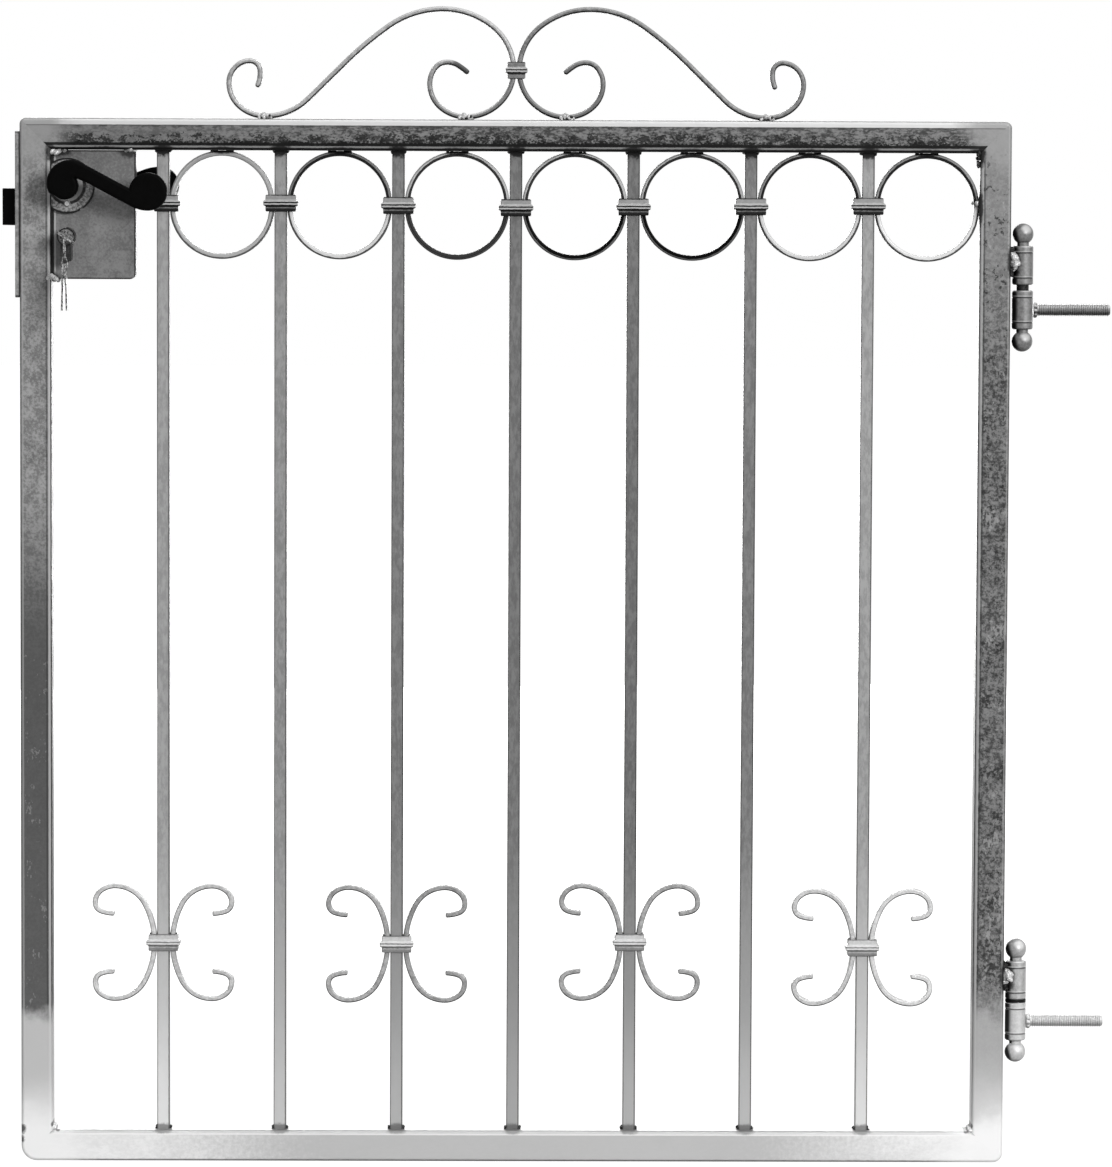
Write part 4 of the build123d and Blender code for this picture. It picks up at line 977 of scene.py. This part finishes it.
def easeEdges(nodeName, radius):
    piece = ownCopy(cadNodes[nodeName], nodeName + "_eased")
    makeActive(piece)
    bpy.ops.mesh.customdata_custom_splitnormals_clear()
    editAll(piece)
    bpy.ops.mesh.remove_doubles(threshold=easing["merge"])
    bpy.ops.mesh.dissolve_limited(angle_limit=math.radians(easing["flatAngle"]))
    leaveEdit()
    bpy.ops.object.shade_smooth()
    rounding = piece.modifiers.new("rounding", "BEVEL")
    rounding.width = radius
    rounding.segments = easing["segments"]
    rounding.limit_method = "ANGLE"
    rounding.angle_limit = math.radians(easing["edgeAngle"])
    rounding.use_clamp_overlap = False
    piece.modifiers.new("flatFaces", "WEIGHTED_NORMAL")
    applyModifiers(piece)
    seat(piece, bodyOf[nodeName], finishOf(nodeName))
    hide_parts(nodeName)
    return piece


def nearestBar(x):
    return min(range(len(barXs)), key=lambda spot: abs(barXs[spot] - x))


def storeBandHeights(piece):  # each collar's height is counted from its own middle
    corners = [corner.co for corner in piece.data.vertices]
    nearest = [nearestBar(corner.x) for corner in corners]
    heights = {}
    for spot, corner in zip(nearest, corners):
        heights.setdefault(spot, []).append(corner.z)
    middles = {spot: (min(levels) + max(levels)) / 2 for spot, levels in heights.items()}
    fromMiddle = [corner.z - middles[spot] for spot, corner in zip(nearest, corners)]
    stored = piece.data.attributes.new("bandHeight", "FLOAT", "POINT")
    stored.data.foreach_set("value", fromMiddle)


for nodeName, radius in easedEdges.items():
    eased = easeEdges(nodeName, radius)
    if nodeName.endswith(("_collars", "_collar")):
        storeBandHeights(eased)
print("edges eased on", len(easedEdges), "pieces")

latchSpring = {"node": "latch_spring", "throw": 0.013}  # the throw is how far the latch runs back, pressing the spring together


def fitLatchSpring():
    nodeName = latchSpring["node"]
    coil = ownCopy(cadNodes[nodeName], nodeName + "_coil")
    editAll(coil)
    bpy.ops.mesh.remove_doubles(threshold=easing["merge"])
    leaveEdit()
    seat(coil, bodyOf[nodeName], finishOf(nodeName))
    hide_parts(nodeName)
    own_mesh(coil)


fitLatchSpring()


def addLump(radius, place, stretch, segments, rings):
    clearSelection()
    bpy.ops.mesh.primitive_uv_sphere_add(segments=segments, ring_count=rings, radius=radius)
    lump = bpy.context.object
    lump.location = place
    lump.scale = stretch
    settle(lump)
    return lump


def meltTogether(piece, voxel, smoothing):  # lumps flow into one skin
    melt = piece.modifiers.new("melt", "REMESH")
    melt.mode = "VOXEL"
    melt.voxel_size = voxel
    flow = piece.modifiers.new("flow", "SMOOTH")
    flow.iterations = smoothing
    applyModifiers(piece)


stud = {
    "pitch": 0.00175,
    "turns": 38,
    "steps": 24,  # faces round one turn of the thread
    "coreRadius": 0.0050,
    "crestRadius": 0.00596,
    "coreLength": 0.0735,
    "tipBevel": 0.0009,
    "bevelAngle": 60,
    "threadStart": 0.0012,
    "threadSink": 0.0003,  # how far the thread's foot goes into the core
    "toothFoot": 0.92,  # half widths of a tooth, as shares of half the pitch
    "toothCrest": 0.16,
    "rootLength": 0.0036,  # weld that holds the stud to its barrel
    "rootWide": 0.0068,
    "rootNarrow": 0.0052,
    "rootBeads": 9,
    "rootRing": 0.0060,
    "rootRadius": 0.0017,
    "rootStretch": (1, 1, 1.25),
    "rootVoxel": 0.0005,
    "rootSmoothing": 4,
    "sides": 40,
    "smoothAngle": 40,
}


def modelStudCore(name):
    clearSelection()
    bpy.ops.mesh.primitive_cylinder_add(
        vertices=stud["sides"], radius=stud["coreRadius"], depth=stud["coreLength"],
    )
    core = nameActive(name)
    core.location.z = stud["coreLength"] / 2 - stud["rootLength"]
    settle(core)
    chamfer = core.modifiers.new("chamfer", "BEVEL")
    chamfer.width = stud["tipBevel"]
    chamfer.segments = 1
    chamfer.limit_method = "ANGLE"
    chamfer.angle_limit = math.radians(stud["bevelAngle"])
    applyModifiers(core)
    return core


def modelStudThread(name):  # one tooth wound up the core
    clearSelection()
    bpy.ops.mesh.primitive_plane_add()
    thread = nameActive(name)
    inner, outer = stud["coreRadius"] - stud["threadSink"], stud["crestRadius"]
    foot, crest = (stud["pitch"] / 2 * stud[share] for share in ("toothFoot", "toothCrest"))
    toothCorners = [(inner, -foot), (outer, -crest), (inner, foot), (outer, crest)]
    for corner, (away, along) in zip(thread.data.vertices, toothCorners):
        corner.co = (away, 0, along + stud["threadStart"])
    editAll(thread)
    bpy.ops.mesh.delete(type="ONLY_FACE")
    leaveEdit()
    wind = thread.modifiers.new("wind", "SCREW")
    wind.axis = "Z"
    wind.screw_offset = stud["pitch"]
    wind.iterations = stud["turns"]
    wind.steps = stud["steps"]
    wind.render_steps = stud["steps"]
    applyModifiers(thread)
    editAll(thread)
    bpy.ops.mesh.fill_holes(sides=4)
    bpy.ops.mesh.select_all(action="SELECT")
    bpy.ops.mesh.normals_make_consistent(inside=False)
    leaveEdit()
    return thread


def modelStudRoot(name):  # a cone with a ring of beads, melted together
    middle = -stud["rootLength"] / 2
    lumps = []
    for step in range(stud["rootBeads"]):
        turn = 2 * math.pi * step / stud["rootBeads"]
        place = (stud["rootRing"] * math.cos(turn), stud["rootRing"] * math.sin(turn), middle)
        lumps.append(addLump(stud["rootRadius"], place, stud["rootStretch"], segments=16, rings=10))
    clearSelection()
    bpy.ops.mesh.primitive_cone_add(
        vertices=stud["sides"], radius1=stud["rootWide"], radius2=stud["rootNarrow"],
        depth=stud["rootLength"], location=(0, 0, middle),
    )
    lumps.append(bpy.context.object)
    settle(lumps[-1])
    root = joinPieces(name, lumps)
    meltTogether(root, stud["rootVoxel"], stud["rootSmoothing"])
    return root


def modelStud(name):
    core = modelStudCore(name + "_core")
    thread = modelStudThread(name + "_thread")
    root = modelStudRoot(name + "_root")
    whole = joinPieces(name, [core, thread, root])
    whole.rotation_euler = (0, math.radians(90), 0)  # along +X, away from the leaf
    settle(whole)
    makeActive(whole)
    bpy.ops.object.shade_smooth_by_angle(angle=math.radians(stud["smoothAngle"]))
    return whole


lowerStud = modelStud("lower_stud_threaded")
upperStud = ownCopy(lowerStud, "upper_stud_threaded")
upperStud.location.z = midOf("upper_stud").z
settle(upperStud)
for piece, nodeName in ((lowerStud, "lower_stud"), (upperStud, "upper_stud")):
    seat(piece, "post_hinges", finishOf(nodeName))
    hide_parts(nodeName)
print("studs threaded")

weldBead = {
    "lumps": 5,
    "radius": 0.0019,
    "least": 0.7,  # smallest and largest lump, as shares of the radius
    "most": 1.1,
    "stretch": (1.2, 0.9, 0.9),
    "spread": 0.0013,
    "voxel": 0.0005,
    "smoothing": 3,
    "seed": 4,
    "smallest": 0.85,  # a copy's size, as shares of the size it is laid at
    "largest": 1.15,
}


def modelBead(name):  # one lumpy drop, copied to every tack
    dice = random.Random(weldBead["seed"])
    lumps = []
    for step in range(weldBead["lumps"]):
        radius = weldBead["radius"] * dice.uniform(weldBead["least"], weldBead["most"])
        place = [dice.uniform(-1, 1) * weldBead["spread"] for axis in range(3)]
        lumps.append(addLump(radius, place, weldBead["stretch"], segments=14, rings=9))
    bead = joinPieces(name, lumps)
    meltTogether(bead, weldBead["voxel"], weldBead["smoothing"])
    bpy.ops.object.shade_smooth()
    return bead


beadPattern = modelBead("bead_pattern")


def layBeads(name, places, finish, seed):  # places: (x, y, z, size)
    dice = random.Random(seed)
    beads = []
    for x, y, z, size in places:
        bead = ownCopy(beadPattern, name + "_bead")
        bead.location = (x, y, z)
        bead.rotation_euler = [dice.uniform(0, math.pi) for axis in range(3)]
        bead.scale = [size * dice.uniform(weldBead["smallest"], weldBead["largest"]) for axis in range(3)]
        settle(bead)
        beads.append(bead)
    seat(joinPieces(name, beads), "leaf", finish)
    print("welds laid:", name, len(places))


def tacksAt(starts, rows):  # rows of (reach along x, depth, rise, size), laid at every start (x, z)
    return [(x + reach, depth, z + rise, size) for x, z in starts for reach, depth, rise, size in rows]


def bothFaces(rows):  # the same rows on the front and on the back
    return [(reach, side * depth, rise, size) for side in (-1, 1) for reach, depth, rise, size in rows]


barTops = [(x, openingHigh) for x in barXs]
barFeet = [(x, openingLow) for x in barXs]
ringTops = [(midOf(f"ring_{number}").x, openingHigh) for number in ringTones]
ringSide = [(hingeEdgeX, lastRing.z)]
crestFeet = [(leafMidX + side * reach, leafHigh.z) for side in (-1, 1) for reach in crestReach.values()]
lugs = [(leafHigh.x, middle) for middle in lugMiddles.values()]
hingeCorner = [(hingeEdgeX, openingHigh)]
footInset = 0.0010
footCorners = [(lockEdgeX + footInset, openingLow), (hingeEdgeX - footInset, openingLow)]

barTopRows = [(side * 0.0064, depth, -0.0006, 0.68) for side in (-1, 1) for depth in (-0.004, 0.003)]
barFootRows = [(side * 0.0066, depth, 0.0010, 0.62) for side in (-1, 1) for depth in (-0.004, 0.004)]
ringTopRows = [
    (reach, depth, -0.0012, 0.75)
    for reach in (-0.009, -0.0055, 0.0055, 0.009)
    for depth in (-0.0035, 0.0035)
]
ringSideRows = bothFaces([(-0.0008, 0.004, -0.006, 0.7), (-0.0008, 0.004, 0.008, 0.7)])
ringSideRows += bothFaces([(-0.0024, 0.0056, 0.0040, 1.3)])
crestRows = bothFaces([
    (-0.0048, 0.0058, 0.0020, 1.0),
    (-0.0012, 0.0064, 0.0026, 1.3),
    (0.0026, 0.0062, 0.0018, 1.15),
    (0.0058, 0.0056, 0.0014, 0.8),
])
crestSootRows = bothFaces([
    (-0.0030, 0.0082, 0.0006, 0.55),
    (0.0006, 0.0082, 0.0010, 0.55),
    (0.0046, 0.0082, 0.0030, 0.55),
])
caseTacks = bothFaces([
    (lockEdgeX + 0.0005, 0.0110, caseHigh.z + 0.0012, 1.9),
    (lockEdgeX + 0.0060, 0.0110, caseHigh.z - 0.0004, 1.6),
    (lockEdgeX + 0.0125, 0.0105, caseHigh.z + 0.0004, 1.2),
    (caseHigh.x - 0.0070, 0.0105, caseHigh.z + 0.0010, 1.7),
    (caseHigh.x - 0.0022, 0.0100, caseHigh.z + 0.0002, 1.1),
    (lockEdgeX - 0.0008, 0.0125, caseLow.z + 0.0010, 1.6),
    (lockEdgeX + 0.0034, 0.0110, caseLow.z + 0.0008, 1.5),
])
lugRises = (-0.008, -0.0048, -0.0016, 0.0016, 0.0048, 0.008)
lugSeamRows = bothFaces([(0.0006, 0.0048, rise, 0.9) for rise in lugRises])
lugDropRows = bothFaces([
    (0.0030, 0.0066, 0.0052, 1.7),
    (0.0046, 0.0072, 0.0026, 1.8),
    (0.0056, 0.0078, -0.0010, 1.5),
    (0.0036, 0.0068, -0.0014, 1.9),
    (0.0024, 0.0060, -0.0044, 1.3),
])
lugSootRows = bothFaces([(0.0012, 0.0056, rise, 1.3) for rise in (-0.0105, -0.0078, 0.0088, 0.0112)])
cornerRows = bothFaces([(-0.0006, 0.0118, -0.0006, 1.3)])
cornerRows += bothFaces([(-0.0004, 0.0110, -drop, 0.8) for drop in (0.005, 0.009, 0.012)])
footDepths = (-0.0118, -0.008, -0.004, 0, 0.004, 0.008, 0.0118)
footRows = [(0, depth, 0.0010, 0.95) for depth in footDepths]

layBeads("bar_top_welds", tacksAt(barTops, barTopRows), burntWeldFinish, 1)
layBeads("bar_foot_welds", tacksAt(barFeet, barFootRows), burntWeldFinish, 2)
layBeads("ring_top_welds", tacksAt(ringTops, ringTopRows), burntWeldFinish, 3)
layBeads("ring_side_weld", tacksAt(ringSide, ringSideRows), weldFinish, 4)
layBeads("crest_foot_welds", tacksAt(crestFeet, crestRows), weldFinish, 5)
layBeads("crest_foot_soot", tacksAt(crestFeet, crestSootRows), burntWeldFinish, 11)
layBeads("lock_case_tacks", caseTacks, weldFinish, 6)
layBeads("hinge_lug_welds", tacksAt(lugs, lugSeamRows) + tacksAt(lugs, lugDropRows), weldFinish, 7)
layBeads("hinge_lug_soot", tacksAt(lugs, lugSootRows), burntWeldFinish, 8)
layBeads("corner_welds", tacksAt(hingeCorner, cornerRows), burntWeldFinish, 9)
layBeads("foot_corner_welds", tacksAt(footCorners, footRows), paleWeldFinish, 10)
bpy.data.objects.remove(beadPattern)

studio = {
    "floorMiddle": -0.5,
    "floorGap": 0.06,
    "floorSize": 40,
    "floorTone": 150,
    "floorRoughness": 0.9,
    "floorSpecular": 0.1,
    "glowStart": 0.8,  # the floor's glow rises from near to far over this stretch
    "glowEnd": 2.2,
    "glowNear": 0.80,
    "glowFar": 1.0,
    "skyForDiffuse": 0.08,
    "lamps": [  # name, place, aim, width, height, watts, spread
        ("overheadSoftbox", (-0.6, -1.1, 3.5), (-0.5, 0, 0.45), 3.0, 1.8, 46, 180),
        ("sideKey", (3.2, -6.6, 2.9), (-0.5, 0, 0.25), 2.6, 2.6, 510, 180),
        ("lowFill", (-0.5, -2.4, 0.0), (-0.5, 0, -0.20), 1.7, 0.12, 0.42, 24),
        ("backSoftbox", (-1.1, 5.4, 1.0), (-0.5, 0, 0.35), 3.0, 2.4, 190, 180),
    ],
}
view = {
    "place": (-0.53868, -6.0, 0.87534),
    "yaw": -0.7639,
    "pitch": -4.3291,
    "roll": -0.2517,
    "lens": 193.71,
    "sensor": 36,
}


def stretchValue(tree, value, fromLow, fromHigh, toLow, toHigh):
    node = tree.nodes.new("ShaderNodeMapRange")
    feed(tree, node.inputs["Value"], value)
    node.inputs["From Min"].default_value = fromLow
    node.inputs["From Max"].default_value = fromHigh
    node.inputs["To Min"].default_value = toLow
    node.inputs["To Max"].default_value = toHigh
    return node.outputs[0]


def cameraSees(tree):  # 1 for the rays that show the white ground
    path = tree.nodes.new("ShaderNodeLightPath").outputs
    seen = calc(tree, "MAXIMUM", path["Is Camera Ray"], path["Is Glossy Ray"])
    return calc(tree, "MAXIMUM", seen, path["Is Transmission Ray"])


def buildWorld():
    world = bpy.data.worlds.new("whiteStudio")
    bpy.context.scene.world = world
    world.use_nodes = True
    tree = world.node_tree
    sky = tree.nodes["Background"]
    sky.inputs["Color"].default_value = (1, 1, 1, 1)
    strength = stretchValue(tree, cameraSees(tree), 0, 1, studio["skyForDiffuse"], 1)
    feed(tree, sky.inputs["Strength"], strength)


def buildFloor():
    floorZ = cadLow.z - studio["floorGap"]
    clearSelection()
    bpy.ops.mesh.primitive_plane_add(size=studio["floorSize"], location=(studio["floorMiddle"], 0, floorZ))
    floor = nameActive("studio_floor")
    settle(floor)
    material = bpy.data.materials.new("paleFloor")
    material.use_nodes = True
    tree = material.node_tree
    shader = tree.nodes["Principled BSDF"]
    shader.inputs["Base Color"].default_value = grey(studio["floorTone"])
    shader.inputs["Roughness"].default_value = studio["floorRoughness"]
    shader.inputs["Specular IOR Level"].default_value = studio["floorSpecular"]
    shader.inputs["Emission Color"].default_value = (1, 1, 1, 1)
    away = vectorStep(tree, "DISTANCE", objectCoords(tree), (leafMidX, 0, floorZ))
    near, far = studio["glowNear"], studio["glowFar"]
    glow = stretchValue(tree, away, studio["glowStart"], studio["glowEnd"], near, far)
    feed(tree, shader.inputs["Emission Strength"], calc(tree, "MULTIPLY", cameraSees(tree), glow))
    giveFinish(floor, material)


def buildLamps():
    for name, place, aim, width, height, watts, spread in studio["lamps"]:
        clearSelection()
        bpy.ops.object.light_add(type="AREA", location=place)
        lamp = nameActive(name)
        lamp.rotation_euler = (Vector(aim) - Vector(place)).to_track_quat("-Z", "Y").to_euler()
        lamp.data.shape = "RECTANGLE"
        lamp.data.size = width
        lamp.data.size_y = height
        lamp.data.energy = watts
        lamp.data.spread = math.radians(spread)
        lamp.visible_camera = False


def buildCamera():
    clearSelection()
    bpy.ops.object.camera_add(location=view["place"])
    camera = nameActive("photoCamera")
    turn = Matrix.Rotation(math.radians(view["yaw"]), 3, "Z")
    turn = turn @ Matrix.Rotation(math.radians(view["pitch"]), 3, "X")
    turn = turn @ Matrix.Rotation(math.radians(view["roll"]), 3, "Y")
    turn = turn @ Matrix.Rotation(math.radians(90), 3, "X")
    camera.rotation_euler = turn.to_euler()
    camera.data.sensor_width = view["sensor"]
    camera.data.lens = view["lens"]
    bpy.context.scene.camera = camera


buildWorld()
buildFloor()
buildLamps()
buildCamera()
bpy.context.scene.view_settings.view_transform = "Standard"
print("studio set")
